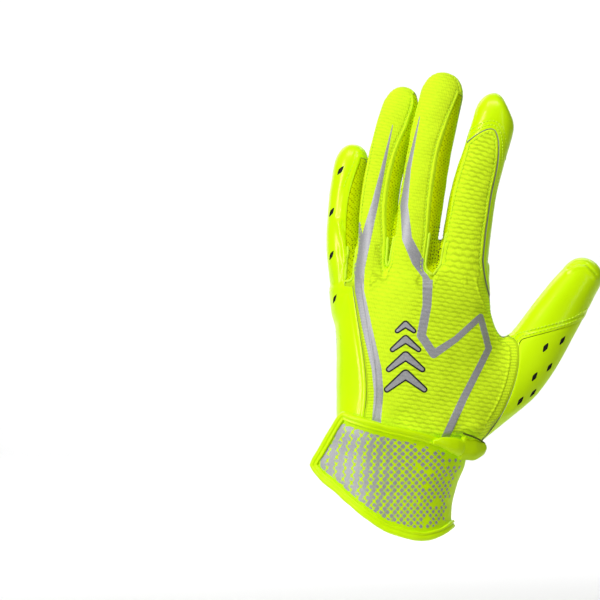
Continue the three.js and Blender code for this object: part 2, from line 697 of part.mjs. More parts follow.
// Edge binding: a rolled edge that follows the strap from the thumb side to its free end, and then the
// hem all round the wrist to the band's inner end. The band's own edge is cut out of it.
function bindingSolid(stations) {
  const start = stations.findIndex((station) => station.turn < -12);
  const points = [];
  stations.slice(start, -1).forEach((station) => points.push({ ...station, z: station.top, outward: 1 }));
  const tip = stations.at(-1);
  points.push({ ...tip, z: (tip.top + tip.bottom) / 2, outward: 0 });
  stations.slice(3, -1).reverse().forEach((station) => points.push({ ...station, z: station.bottom, outward: -1 }));

  const places = points.map((p) => bandPoint(p.turn, p.out, p.z, 0));
  const [lip, beyond] = [BINDING_WIDTH * 0.66, BINDING_WIDTH * 0.34];
  const half = BINDING_DEPTH / 2;
  const section = [
    [-lip, half * 0.75],
    [-lip * 0.5, half],
    [beyond * 0.35, half * 0.85],
    [beyond, half * 0.4],
    [beyond, -half * 0.4],
    [beyond * 0.35, -half * 0.85],
    [-lip * 0.5, -half],
    [-lip, -half * 0.75],
  ];
  const rings = points.map((p, i) => {
    const along = places[Math.min(i + 1, places.length - 1)].clone().sub(places[Math.max(i - 1, 0)]).normalize();
    const normal = bandPoint(p.turn, p.out, p.z, 1).sub(places[i]).normalize();
    const outward = along.clone().cross(normal).normalize();
    if (p.outward !== 0 && outward.z * p.outward < 0) outward.negate();
    return section.map(([e, n]) => places[i].clone().addScaledVector(outward, e).addScaledVector(normal, n));
  });
  const grown = stations.map((station) => ({
    ...station,
    out: station.out > 0 ? station.out + SEAM_GAP : 0,
    top: station.top + SEAM_GAP,
    bottom: station.bottom - SEAM_GAP,
  }));
  const edge = solidOf(bandSheet(grown, BAND_THICKNESS + 2 * SEAM_GAP, 0, BAND_ROWS));
  return solidOf(loft(rings)).subtract(edge);
}

// The room that the band, the strap and its binding take outside the hand. inset gives the room
// that they leave in the hollow.
function bandRoom(inset) {
  const reach = PALM_DEPTH;
  const room = (part, depth, above) => {
    const taller = part.map((station) => ({
      ...station,
      bottom: -CUFF_HEIGHT * 0.3,
      top: station.top + above + SEAM_GAP + inset,
    }));
    const inner = depth + SEAM_GAP + inset;
    return solidOf(bandSheet(taller, reach + inner, (reach - inner) / 2, BAND_ROWS));
  };
  const all = bandStations();
  const split = all.findIndex((station) => station.turn < -12);
  return join([
    room(all.slice(0, split + 1), BAND_THICKNESS * 0.6, 0.3),
    room(all.slice(split - 2), BINDING_DEPTH * 0.55, BINDING_WIDTH * 0.7),
  ]);
}

// Pieces cut from the one glove shape
const outside = gloveSolid(0).subtract(bandRoom(0));
const hollow = gloveSolid(WALL).subtract(bandRoom(WALL));
const shell = outside.subtract(hollow);
const half = SEAM_GAP / 2;
const gussets = [0, 1, 2].map((index) => shell.intersect(gusset(index, -half)));
const bare = shell.subtract(join([0, 1, 2].map((index) => gusset(index, half))));
const vents = join(VENTS.map(ventCutter));
const back = bare.intersect(backCutter(-half));
const thumb = bare.intersect(thumbCutter(-half)).subtract(backCutter(half)).subtract(vents);
const palm = bare.subtract(backCutter(half)).subtract(thumbCutter(half)).subtract(vents);

// The largest body of a cut piece, without the crumbs that a cut leaves beside it
const mainBody = (solid) => solid.decompose().reduce((a, b) => (b.volume() > a.volume() ? b : a));

function geometryOf(solid) {
  let body = mainBody(solid.simplify(FINEST_EDGE));
  let geometry;
  for (const last of [false, true]) {
    const mesh = body.getMesh();
    const positions = new Float32Array(mesh.numVert * 3);
    for (let i = 0; i < mesh.numVert; i++) {
      for (let k = 0; k < 3; k++) positions[i * 3 + k] = mesh.vertProperties[i * mesh.numProp + k];
    }
    geometry = new THREE.BufferGeometry();
    geometry.setAttribute("position", new THREE.BufferAttribute(positions, 3));
    geometry.setIndex(new THREE.BufferAttribute(new Uint32Array(mesh.triVerts), 1));
    if (!last) body = mainBody(solidOf(mergeVertices(geometry, 1e-3)));
  }
  return geometry;
}

const stations = bandStations();
const patchStations = stations
  .filter((station) => station.turn < -100 && station.out === 0)
  .map((station) => ({ ...station, bottom: CUFF_HEIGHT * 0.78, top: CUFF_HEIGHT * 0.9 }));

const knit = new THREE.MeshStandardMaterial({ color: 0xb9ea0c, roughness: 0.85, metalness: 0 });
const leather = new THREE.MeshStandardMaterial({ color: 0xd2ff00, roughness: 0.3, metalness: 0 });
const mesh = new THREE.MeshStandardMaterial({ color: 0xb4e00a, roughness: 0.9, metalness: 0 });
const foam = new THREE.MeshStandardMaterial({ color: 0xc8f500, roughness: 0.6, metalness: 0 });
const tape = new THREE.MeshStandardMaterial({ color: 0xd6ff14, roughness: 0.5, metalness: 0 });

const glove = new THREE.Group();
function piece(name, geometry, material) {
  const made = new THREE.Mesh(geometry, material);
  made.name = name;
  glove.add(made);
}

piece("back_panel", geometryOf(back), knit);
piece("palm_panel", geometryOf(palm), leather);
piece("thumb_panel", geometryOf(thumb), leather);
piece("gusset_little_ring", geometryOf(gussets[0]), mesh);
piece("gusset_ring_middle", geometryOf(gussets[1]), mesh);
piece("gusset_middle_index", geometryOf(gussets[2]), mesh);
piece("wrist_band", bandSheet(stations, BAND_THICKNESS, 0, BAND_ROWS), foam);
piece("edge_binding", geometryOf(bindingSolid(stations)), tape);
piece("closure_patch", bandSheet(patchStations, PATCH_THICKNESS, -BAND_THICKNESS / 2 - SEAM_GAP - PATCH_THICKNESS / 2, 1), tape);

export default glove;
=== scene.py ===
"""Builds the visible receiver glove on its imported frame: worn form, back of the hand to the camera."""
import math

import bpy
import numpy as np
from bpy.props import FloatProperty, FloatVectorProperty, PointerProperty
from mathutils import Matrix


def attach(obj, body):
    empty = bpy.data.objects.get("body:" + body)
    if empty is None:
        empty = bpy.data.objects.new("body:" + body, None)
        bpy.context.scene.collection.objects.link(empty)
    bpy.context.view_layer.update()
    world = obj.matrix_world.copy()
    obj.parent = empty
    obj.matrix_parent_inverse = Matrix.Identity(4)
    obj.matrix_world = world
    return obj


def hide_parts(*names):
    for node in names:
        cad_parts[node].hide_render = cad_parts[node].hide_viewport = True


bl_info = {
    "name": "Receiver glove",
    "version": (1, 0, 0),
    "blender": (4, 5, 0),
    "location": "View3D > Sidebar > Glove",
    "description": "Builds the visible receiver glove, its studio and its camera",
    "category": "Add Mesh",
}

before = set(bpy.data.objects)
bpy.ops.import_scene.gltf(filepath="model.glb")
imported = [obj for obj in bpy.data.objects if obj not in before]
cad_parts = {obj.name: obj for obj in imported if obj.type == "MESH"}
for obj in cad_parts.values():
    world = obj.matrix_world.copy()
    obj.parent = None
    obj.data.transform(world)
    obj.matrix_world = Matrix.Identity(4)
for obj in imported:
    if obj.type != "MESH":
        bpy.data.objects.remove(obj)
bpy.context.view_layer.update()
MM = 0.001

# Sizes in millimetres, the same as the solids'
FINGER_LENGTH = 102.0
FINGER_WIDTH = 24.0
FINGER_DEPTH = 18.6
FINGER_CAP = 14.5
FINGER_CURL = 7.0
PALM_LENGTH = 110.0
PALM_DEPTH = 34.0
KNUCKLE_ARCH = 11.0
THUMB_LENGTH = 122.0
THUMB_WIDTH = 26.0
THUMB_DEPTH = 22.0
THUMB_CAP = 12.5
WRIST_WIDTH = 66.0
WRIST_DEPTH = 44.0
CUFF_HEIGHT = 40.0
STRAP_RISE = 30.0
FLAP_LENGTH = 23.4
WEB_TOP = 165.0
WEB_SPAN = 9.0
WALL = 1.3
BAND_THICKNESS = 2.2
PATCH_THICKNESS = 1.2
GAP = 0.3
VENT_LENGTH = 6.0
VENT_WIDTH = 2.4
VENT_LEAN = 0.55
VENT_DEPTH = 0.5
GUSSET_WIDTH = 12.0
BINDING_WIDTH = 4.8
BINDING_DEPTH = 5.4
LITTLE_ROOT = -24.6
FINGER_START = -0.2
WRIST_POWER = 2.2
HAND_POWER = 2.5
CROTCH = CUFF_HEIGHT + PALM_LENGTH
# How widely neighbouring forms run into each other
FINGER_BLEND = 1.2
HAND_BLEND = 7.0
THUMB_BLEND = 11.0
BAND_BLEND = 1.6
# The oblique cut of the index fingertip: a point on it, its way out and its roundness
INDEX_CUT_X = 60.0
INDEX_CUT_Z = 238.1
INDEX_CUT_WAY = (0.916, 0.4)
INDEX_CUT_ROUND = 3.0
# The space that holds the hand above the band, and a distance past all of it
SPACE_LOW = (-42.0, -32.0, 33.0)
SPACE_HIGH = (121.0, 38.0, 256.0)
FAR_OFF = 60.0
BAND_REGION_TOP = 95.0


def table(names, *rows):
    """Named columns of a short table."""
    return dict(zip(names.split(), np.array(rows, float).T))


# pitch, size and thick are in finger widths and depths, reach in finger lengths, drop in finger depths
FINGERS = table(
    "pitch size thick reach crotch roll drop",
    (0, 0.78, 0.9, 0.72, -0.09, 42, 0.3),
    (0.612, 0.86, 0.94, 0.97, -0.04, 22, 0.08),
    (0.855, 1, 1, 1, 0, 22, 0),
    (1.17, 1.03, 0.98, 0.9, -0.01, 10, 0),
)
LEANS = [
    table(
        "along lean wide",
        (-0.25, 0.055, 1.03),
        (0, 0.012, 1.02),
        (0.29, -0.01, 1.01),
        (0.58, 0.007, 1),
        (0.84, 0.042, 0.96),
    ),
    table(
        "along lean wide",
        (-0.2, -0.01, 1.03),
        (0, 0, 1.02),
        (0.16, 0.019, 1),
        (0.38, 0.033, 1),
        (0.65, 0.084, 0.98),
        (0.88, 0.149, 0.94),
    ),
    table(
        "along lean wide",
        (-0.2, -0.02, 1),
        (0, 0, 1),
        (0.18, 0.031, 1),
        (0.36, 0.058, 1),
        (0.61, 0.1, 0.98),
        (0.87, 0.159, 0.93),
    ),
    table(
        "along lean wide",
        (-0.2, -0.01, 1.05),
        (0, 0, 1.04),
        (0.2, 0.023, 1.02),
        (0.44, 0.064, 0.98),
        (0.67, 0.131, 0.93),
        (0.87, 0.188, 0.88),
    ),
]
FINGER_THICKNESS = table(
    "along thick", (-0.2, 1.22), (0.05, 1.16), (0.3, 1.02), (0.6, 0.98), (0.9, 0.93)
)
THUMB = table(
    "along across up deep wide thick",
    (0, 0.265, 0.115, 0.1, 1.3, 1.36),
    (0.25, 0.447, 0.294, 0.26, 1.28, 1.26),
    (0.5, 0.6, 0.464, 0.41, 1.17, 1.09),
    (0.75, 0.72, 0.644, 0.54, 1.04, 1),
    (1, 0.838, 0.816, 0.62, 0.82, 0.9),
)
HAND = table(
    "up ulnar thumb depth arch rise",
    (-0.15, 0.368, 0.43, 1.16, 0, 0),
    (-0.012, 0.368, 0.434, 1.16, 0, 0),
    (0.055, 0.35, 0.52, 1.2, 0.05, 0),
    (0.11, 0.348, 0.59, 1.17, 0.1, 0),
    (0.23, 0.346, 0.62, 1.1, 0.25, 0),
    (0.42, 0.346, 0.66, 1.03, 0.45, 0),
    (0.62, 0.35, 0.672, 0.98, 0.7, 0.02),
    (0.72, 0.355, 0.636, 0.94, 0.85, 0.05),
    (0.82, 0.358, 0.606, 0.88, 1, 0.08),
    (0.91, 0.362, 0.594, 0.78, 1, 0.1),
    (0.97, 0.355, 0.588, 0.62, 1, 0.11),
    (1.005, 0.335, 0.575, 0.5, 1, 0.11),
    (1.06, 0.335, 0.575, 0.5, 1, 0.11),
)
WRIST = table(
    "up ulnar thumb depth",
    (-0.2, 0.5, 0.48, 0.5),
    (0.1, 0.505, 0.475, 0.5),
    (0.45, 0.505, 0.47, 0.495),
    (0.75, 0.5, 0.515, 0.485),
    (1.05, 0.495, 0.585, 0.48),
    (1.6, 0.48, 0.59, 0.5),
)
BAND_ROUND = table(
    "turn top bottom",
    (258, 0.97, 0.74),
    (215, 0.98, 0.75),
    (180, 1.0, 0.74),
    (155, 0.99, 0.71),
    (132, 0.98, 0.58),
    (110, 0.98, 0.38),
    (90, 0.98, 0.19),
    (62, 1.0, 0.08),
    (30, 1.02, 0.1),
    (5, 1.07, 0.17),
    (-15, 1.17, 0.17),
    (-40, 1.27, 0.09),
    (-65, 1.39, 0.04),
    (-90, 1.5, 0.13),
    (-108, 1.58, 0.31),
    (-125, 1.65, 0.5),
)
FLAP_TURN = -125.0
BAND_FLAP = table(
    "out top bottom",
    (0, 0.87, 0.5),
    (0.14, 0.9, 0.56),
    (0.24, 0.93, 0.61),
    (0.34, 0.87, 0.66),
    (0.5, 0.68, 0.73),
    (0.7, 0.42, 0.81),
    (0.85, 0.22, 0.9),
    (0.94, 0.12, 0.955),
    (1, 0.03, 1.0),
)
# How far the hand has to stay inside the wrist's line, under the band and the strap
BAND_ROOM = table(
    "turn limit",
    (-180, -1.6),
    (-100, -1.6),
    (-75, -1.2),
    (-50, -2.2),
    (-30, -3.1),
    (-12, -3.0),
    (5, -1.7),
    (180, -1.6),
)
BACK_OUTLINE = table(
    "across up",
    (-0.195, -0.2),
    (-0.19, 0.2),
    (-0.163, 0.345),
    (-0.175, 0.49),
    (-0.21, 0.66),
    (-0.265, 0.93),
    (-0.22, 1.08),
    (0.57, 1.08),
    (0.578, 0.95),
    (0.62, 0.82),
    (0.7, 0.7),
    (0.735, 0.635),
    (0.805, 0.61),
    (0.812, 0.515),
    (0.787, 0.417),
    (0.742, 0.319),
    (0.68, 0.221),
    (0.61, 0.147),
    (0.5, 0.06),
    (0.45, -0.2),
)
INDEX_ARCH = table(
    "across up",
    (-0.62, 0.62),
    (-0.3, 0.735),
    (0.02, 0.79),
    (0.2, 0.745),
    (0.3, 0.67),
    (0.37, 0.58),
    (0.39, 0.4),
    (0.38, 0.1),
    (0.4, -0.12),
    (-0.62, -0.12),
)
THUMB_OUTLINE = table(
    "across up",
    (0.45, -0.2),
    (0.5, 0.06),
    (0.61, 0.147),
    (0.68, 0.221),
    (0.742, 0.319),
    (0.787, 0.417),
    (0.812, 0.515),
    (0.805, 0.61),
    (0.878, 0.628),
    (1.005, 0.655),
    (1.132, 0.684),
    (1.22, 0.72),
    (1.32, 0.78),
    (1.32, 0.3),
    (0.9, -0.2),
)
VENTS = table(
    "across up",
    (0.976, 0.576),
    (1.084, 0.611),
    (0.999, 0.481),
    (0.903, 0.434),
    (0.894, 0.356),
    (0.811, 0.316),
    (-0.324, 1.448),
    (-0.38, 1.242),
    (-0.382, 1.03),
    (-0.362, 0.814),
    (-0.35, 0.6),
)


def read(rows, place, column, at):
    """A column of a table at places between its rows, on a smooth curve through them."""
    x, y = rows[place], rows[column]
    if x[0] > x[-1]:
        x, y = x[::-1], y[::-1]
    last = len(x) - 1
    before = np.maximum(np.arange(last + 1) - 1, 0)
    after = np.minimum(np.arange(last + 1) + 1, last)
    slope = (y[after] - y[before]) / (x[after] - x[before])
    at = np.clip(at, x[0], x[-1])
    i = np.clip(np.searchsorted(x, at, "right") - 1, 0, last - 1)
    span = x[i + 1] - x[i]
    s = (at - x[i]) / span
    return (
        y[i] * (2 * s**3 - 3 * s**2 + 1)
        + y[i + 1] * (3 * s**2 - 2 * s**3)
        + span * slope[i] * (s**3 - 2 * s**2 + s)
        + span * slope[i + 1] * (s**3 - s**2)
    )


def smoothstep(low, high, x):
    """A smooth climb from 0 at low to 1 at high."""
    s = np.clip((x - low) / (high - low), 0, 1)
    return s * s * (3 - 2 * s)


def unit(v):
    """Vectors brought to length 1."""
    return v / np.maximum(np.linalg.norm(v, axis=-1, keepdims=True), 1e-9)


def lengths(line):
    """The length along a line at each of its points."""
    return np.concatenate([[0], np.cumsum(np.linalg.norm(np.diff(line, axis=0), axis=1))])


def along_line(line, places, at):
    """Points between a line's own, whose places are given, at other places."""
    return np.stack([np.interp(at, places, line[:, k]) for k in range(3)], 1)


def grid_faces(rows, wide, closed):
    """Triangles of a grid with wide points a row, each row closed or open."""
    a = (np.arange(rows - 1)[:, None] * wide + np.arange(wide if closed else wide - 1)[None]).ravel()
    b = a - a % wide + (a % wide + 1) % wide
    return np.concatenate([np.stack([a, b, b + wide], 1), np.stack([a, b + wide, a + wide], 1)])


ROOTS = LITTLE_ROOT + np.cumsum(FINGERS["pitch"]) * FINGER_WIDTH
PALM_WIDTH = ROOTS[3] - ROOTS[0] + FINGER_WIDTH * 0.9
ARCH_CENTRE = ROOTS[2] + (ROOTS[3] - ROOTS[2]) * 0.3


def hand_middle(x, z):
    """How far behind the wrist's middle plane the hand's own middle lies."""
    up = np.clip((z - CUFF_HEIGHT) / PALM_LENGTH, 0, 1)
    out = (x - ARCH_CENTRE) / (ROOTS[0] - ARCH_CENTRE)
    return KNUCKLE_ARCH * read(HAND, "up", "arch", up) * out * out


class Tube:
    """A finger-shaped solid along a line, with its own directions across and through."""

    def __init__(self, shares, centres, widths, depths, cap, power):
        self.shares = shares
        self.centres = centres
        step = np.gradient(centres, shares, axis=0)
        self.speed = np.linalg.norm(step, axis=1)
        self.tangents = unit(step)
        self.across = unit(np.cross([0.0, 1.0, 0.0], self.tangents))
        self.deep = np.cross(self.tangents, self.across)
        self.widths = widths
        self.depths = depths
        self.cap = cap
        self.power = power
        reach = widths.max() + 14
        self.low = centres.min(0) - reach
        self.high = centres.max(0) + reach
        self.chord = centres[-1] - centres[0]

    def at(self, values, share):
        """Values of the tube's stations, read at shares along it."""
        if values.ndim == 1:
            return np.interp(share, self.shares, values)
        return along_line(values, self.shares, share)

    def local(self, points):
        """Where points lie on the tube: across, through and past its ends, and the share along it."""
        first, last = self.shares[0], self.shares[-1]
        ahead = (points - self.centres[0]) @ self.chord
        share = first + (last - first) * ahead / (self.chord @ self.chord)
        share = np.clip(share, first, last)
        for _ in range(3):
            off = points - self.at(self.centres, share)
            move = (off * self.at(self.tangents, share)).sum(1) / self.at(self.speed, share)
            share = np.clip(share + move, first, last)
        off = points - self.at(self.centres, share)
        u = (off * self.at(self.across, share)).sum(1)
        v = (off * self.at(self.deep, share)).sum(1)
        w = (off * self.at(self.tangents, share)).sum(1)
        return u, v, w, share

    def distance(self, points):
        """Signed distance from the tube's surface, less than 0 inside."""
        value = np.full(len(points), FAR_OFF)
        near = ((points > self.low) & (points < self.high)).all(1)
        if not near.any():
            return value
        u, v, w, share = self.local(points[near])
        a, b = self.at(self.widths, share), self.at(self.depths, share)
        w = np.where((share <= self.shares[0]) & (w < 0), w * 1.5, w)
        w = np.where((share > self.shares[0]) & (share < self.shares[-1]), 0, w)
        flat = (np.abs(u / a) ** self.power + np.abs(v / b) ** self.power) ** (1 / self.power)
        k = np.maximum((flat**2.25 + np.abs(w / self.cap) ** 2.25) ** (1 / 2.25), 1e-4)
        far = np.sqrt(u * u + v * v + w * w)
        value[near] = far - np.maximum(far, 0.05) / k
        return value


def finger_tube(i):
    """The form of finger i, counted from the little finger."""
    length = FINGERS["reach"][i] * FINGER_LENGTH
    share = np.linspace(FINGER_START, 1 - FINGER_CAP / length, 140)
    root = CROTCH + FINGERS["crotch"][i] * PALM_LENGTH
    x = ROOTS[i] + read(LEANS[i], "along", "lean", share) * length
    level = hand_middle(np.array([ROOTS[i]]), np.array([CROTCH]))[0]
    y = level + FINGERS["drop"][i] * FINGER_DEPTH + FINGER_CURL * np.maximum(share, 0) ** 2
    widths = FINGERS["size"][i] * FINGER_WIDTH * read(LEANS[i], "along", "wide", share) / 2
    depths = FINGERS["thick"][i] * FINGER_DEPTH * read(FINGER_THICKNESS, "along", "thick", share) / 2
    return Tube(share, np.stack([x, y, root + share * length], 1), widths, depths, FINGER_CAP, 2.2)


def thumb_tube():
    """The thumb's form."""
    share = np.linspace(0, 1, 140)
    x = read(THUMB, "along", "across", share) * THUMB_LENGTH
    y = read(THUMB, "along", "deep", share) * THUMB_DEPTH
    z = CUFF_HEIGHT + read(THUMB, "along", "up", share) * THUMB_LENGTH
    widths = THUMB_WIDTH * read(THUMB, "along", "wide", share) / 2
    depths = THUMB_DEPTH * read(THUMB, "along", "thick", share) / 2
    return Tube(share, np.stack([x, y, z], 1), widths, depths, THUMB_CAP, 2.15)


TUBES = [finger_tube(i) for i in range(4)]
THUMB_TUBE = thumb_tube()


def hand_distance(points):
    """Signed distance from the hand's form, without its fingers."""
    x, y, z = points.T
    up = (z - CUFF_HEIGHT) / PALM_LENGTH
    level = up
    for _ in range(3):
        left = read(HAND, "up", "ulnar", level) * PALM_WIDTH
        right = read(HAND, "up", "thumb", level) * PALM_WIDTH
        level = up - read(HAND, "up", "rise", level) * (x - right) / (left + right)
    side = np.where(x > 0, right, left)
    depth = read(HAND, "up", "depth", level) * PALM_DEPTH / 2
    off = y - hand_middle(x, z)
    past = np.maximum((level - 0.975) * PALM_LENGTH, 0)
    flat = (np.abs(x / side) ** HAND_POWER + np.abs(off / depth) ** HAND_POWER) ** (1 / HAND_POWER)
    k = np.maximum(np.sqrt(flat**2 + (past / 5.0) ** 2), 1e-4)
    far = np.sqrt(x * x + off * off + past * past)
    return (far - np.maximum(far, 0.05) / k) * 0.85


def wrist_place(points):
    """How far points lie outside the wrist's own line, and their turn round it in degrees."""
    x, y, z = points.T
    up = z / CUFF_HEIGHT
    a = np.where(x > 0, read(WRIST, "up", "thumb", up), read(WRIST, "up", "ulnar", up)) * WRIST_WIDTH
    b = read(WRIST, "up", "depth", up) * WRIST_DEPTH
    k = np.maximum((np.abs(x / a) ** WRIST_POWER + np.abs(y / b) ** WRIST_POWER) ** (1 / WRIST_POWER), 1e-4)
    far = np.hypot(x, y)
    power = WRIST_POWER / 2
    turn = np.degrees(
        np.arctan2(np.sign(y) * np.abs(y / b / k) ** power, np.sign(x) * np.abs(x / a / k) ** power)
    )
    return far - far / k, turn


def smooth_min(a, b, k):
    """The lesser of two values, with a soft change over k."""
    h = np.maximum(k - np.abs(a - b), 0) / k
    return np.minimum(a, b) - h * h * k / 4


def glove_distance(points):
    """Signed distance from the glove's outer surface, in millimetres: less than 0 inside."""
    fingers = np.full(len(points), FAR_OFF)
    web = FINGER_BLEND + WEB_SPAN * (1 - smoothstep(WEB_TOP - 8, WEB_TOP, points[:, 2]))
    for tube in TUBES:
        fingers = smooth_min(fingers, tube.distance(points), web if tube is TUBES[3] else FINGER_BLEND)
    past_x = points[:, 0] - INDEX_CUT_X
    past_z = points[:, 2] - INDEX_CUT_Z
    cut = past_x * INDEX_CUT_WAY[0] + past_z * INDEX_CUT_WAY[1]
    fingers = -smooth_min(-fingers, -cut, INDEX_CUT_ROUND)
    value = smooth_min(hand_distance(points), fingers, HAND_BLEND)
    value = smooth_min(value, THUMB_TUBE.distance(points), THUMB_BLEND)
    low = points[:, 2] < BAND_REGION_TOP
    if low.any():
        place = points[low]
        out, turn = wrist_place(place)
        round_turn = np.where(turn < FLAP_TURN, turn + 360, turn)
        top = read(BAND_ROUND, "turn", "top", round_turn) * CUFF_HEIGHT
        limit = read(BAND_ROOM, "turn", "limit", turn)
        room = out - limit - np.maximum(place[:, 2] - top - 1.5, 0) * 1.25
        value[low] = -smooth_min(-value[low], -room, BAND_BLEND)
    return value


def gradient(points, value):
    """A value at points, and its slope there."""
    step = 0.06
    here = value(points)
    slopes = []
    for axis in range(3):
        moved = points.copy()
        moved[:, axis] += step
        slopes.append((value(moved) - here) / step)
    return here, np.stack(slopes, 1)


def settle(points, value, rounds=2):
    """Points moved onto the surface where value is 0, and the surface's normals there."""
    for _ in range(rounds):
        here, slope = gradient(points, value)
        size = np.maximum((slope * slope).sum(1), 0.2)
        points = points - slope * (np.clip(here, -1.5, 1.5) / size)[:, None]
    return points, unit(gradient(points, value)[1])


def in_parts(value, points, most):
    """A value at many points, worked out a part at a time."""
    parts = np.array_split(points, max(len(points) // most, 1))
    return np.concatenate([value(part) for part in parts])


# Fine cells along one side of a coarse cell
BLOCK = 4


def marked(cells, size, reach):
    """A mask of the fine places that lie in coarse cells."""
    mask = np.zeros(size, bool)
    for a, b, c in np.ndindex(reach, reach, reach):
        mask[cells[:, 0] * BLOCK + a, cells[:, 1] * BLOCK + b, cells[:, 2] * BLOCK + c] = True
    return mask


def sampled(value, low, high, step, wanted):
    """A grid of the value, exact near the surface, and a mask of the fine cells there."""
    wide = step * BLOCK
    count = np.ceil((np.array(high) - low) / wide).astype(int)
    nodes = np.indices(count + 1).reshape(3, -1).T
    coarse = in_parts(value, low + nodes * wide, 200000).reshape(count + 1)
    near = np.full(count, 1e9)
    for a, b, c in np.ndindex(2, 2, 2):
        corner = coarse[a : a + count[0], b : b + count[1], c : c + count[2]]
        near = np.minimum(near, np.abs(corner))
    cells = np.argwhere(near < wide * 1.25)
    if wanted is not None:
        cells = cells[wanted(low + (cells + 0.5) * wide)]
    grid = np.repeat(np.repeat(np.repeat(coarse, BLOCK, 0), BLOCK, 1), BLOCK, 2)
    size = count * BLOCK + 1
    grid = grid[: size[0], : size[1], : size[2]].astype(np.float32)
    mask = marked(cells, size, BLOCK + 1)
    grid[mask] = in_parts(value, low + np.argwhere(mask) * step, 300000).astype(np.float32)
    return grid, marked(cells, size - 1, BLOCK)


def crossed_middles(grid, cell):
    """The mean of the places where the surface cuts each cell's edges, in cells."""
    total = np.zeros((len(cell), 3))
    hits = np.zeros(len(cell))
    for axis in range(3):
        for a, b in np.ndindex(2, 2):
            start = np.insert([a, b], axis, 0)
            end = np.insert([a, b], axis, 1)
            one = grid[tuple((cell + start).T)].astype(float)
            two = grid[tuple((cell + end).T)].astype(float)
            cross = (one < 0) != (two < 0)
            share = np.where(cross, one / np.where(cross, one - two, 1), 0)
            spot = cell + start + share[:, None] * (end - start)
            total += np.where(cross[:, None], spot, 0)
            hits += cross
    return total / hits[:, None]


def crossed_quads(inside, number):
    """The four numbered cells round each grid edge that the surface cuts, turned to face out."""
    size = inside.shape
    faces = []
    for axis in range(3):
        after = [slice(None)] * 3
        before = [slice(None)] * 3
        after[axis] = slice(1, None)
        before[axis] = slice(None, -1)
        edge = np.argwhere(inside[tuple(before)] != inside[tuple(after)])
        one, two = (axis + 1) % 3, (axis + 2) % 3
        fits = (edge[:, one] > 0) & (edge[:, two] > 0)
        fits &= (edge[:, one] < size[one] - 1) & (edge[:, two] < size[two] - 1)
        edge = edge[fits]
        ring = []
        for p, q in ((-1, -1), (0, -1), (0, 0), (-1, 0)):
            spot = edge.copy()
            spot[:, one] += p
            spot[:, two] += q
            ring.append(number[tuple(spot.T)])
        ring = np.stack(ring, 1)
        outward = inside[tuple(edge.T)]
        ring = np.where(outward[:, None], ring, ring[:, ::-1])
        faces.append(ring[(ring >= 0).all(1)])
    return np.concatenate(faces)


def net(value, low, high, step, wanted=None):
    """A mesh of the surface where value is 0, in the coarse cells that are wanted."""
    low = np.array(low, float)
    grid, near = sampled(value, low, high, step, wanted)
    inside = grid < 0
    corners = np.zeros(near.shape, np.uint8)
    size = near.shape
    for a, b, c in np.ndindex(2, 2, 2):
        corners += inside[a : a + size[0], b : b + size[1], c : c + size[2]]
    cell = np.argwhere((corners > 0) & (corners < 8) & near)
    number = np.full(size, -1, np.int32)
    number[tuple(cell.T)] = np.arange(len(cell))
    quads = crossed_quads(inside, number)
    points = low + crossed_middles(grid, cell) * step
    points, normals = settle(points, value)
    one = np.linalg.norm(points[quads[:, 0]] - points[quads[:, 2]], axis=1)
    two = np.linalg.norm(points[quads[:, 1]] - points[quads[:, 3]], axis=1)
    short = (one <= two)[:, None]
    first = np.where(short, quads[:, [0, 1, 2]], quads[:, [0, 1, 3]])
    second = np.where(short, quads[:, [0, 2, 3]], quads[:, [1, 2, 3]])
    return Patch(points, np.concatenate([first, second]), {"normal": normals})


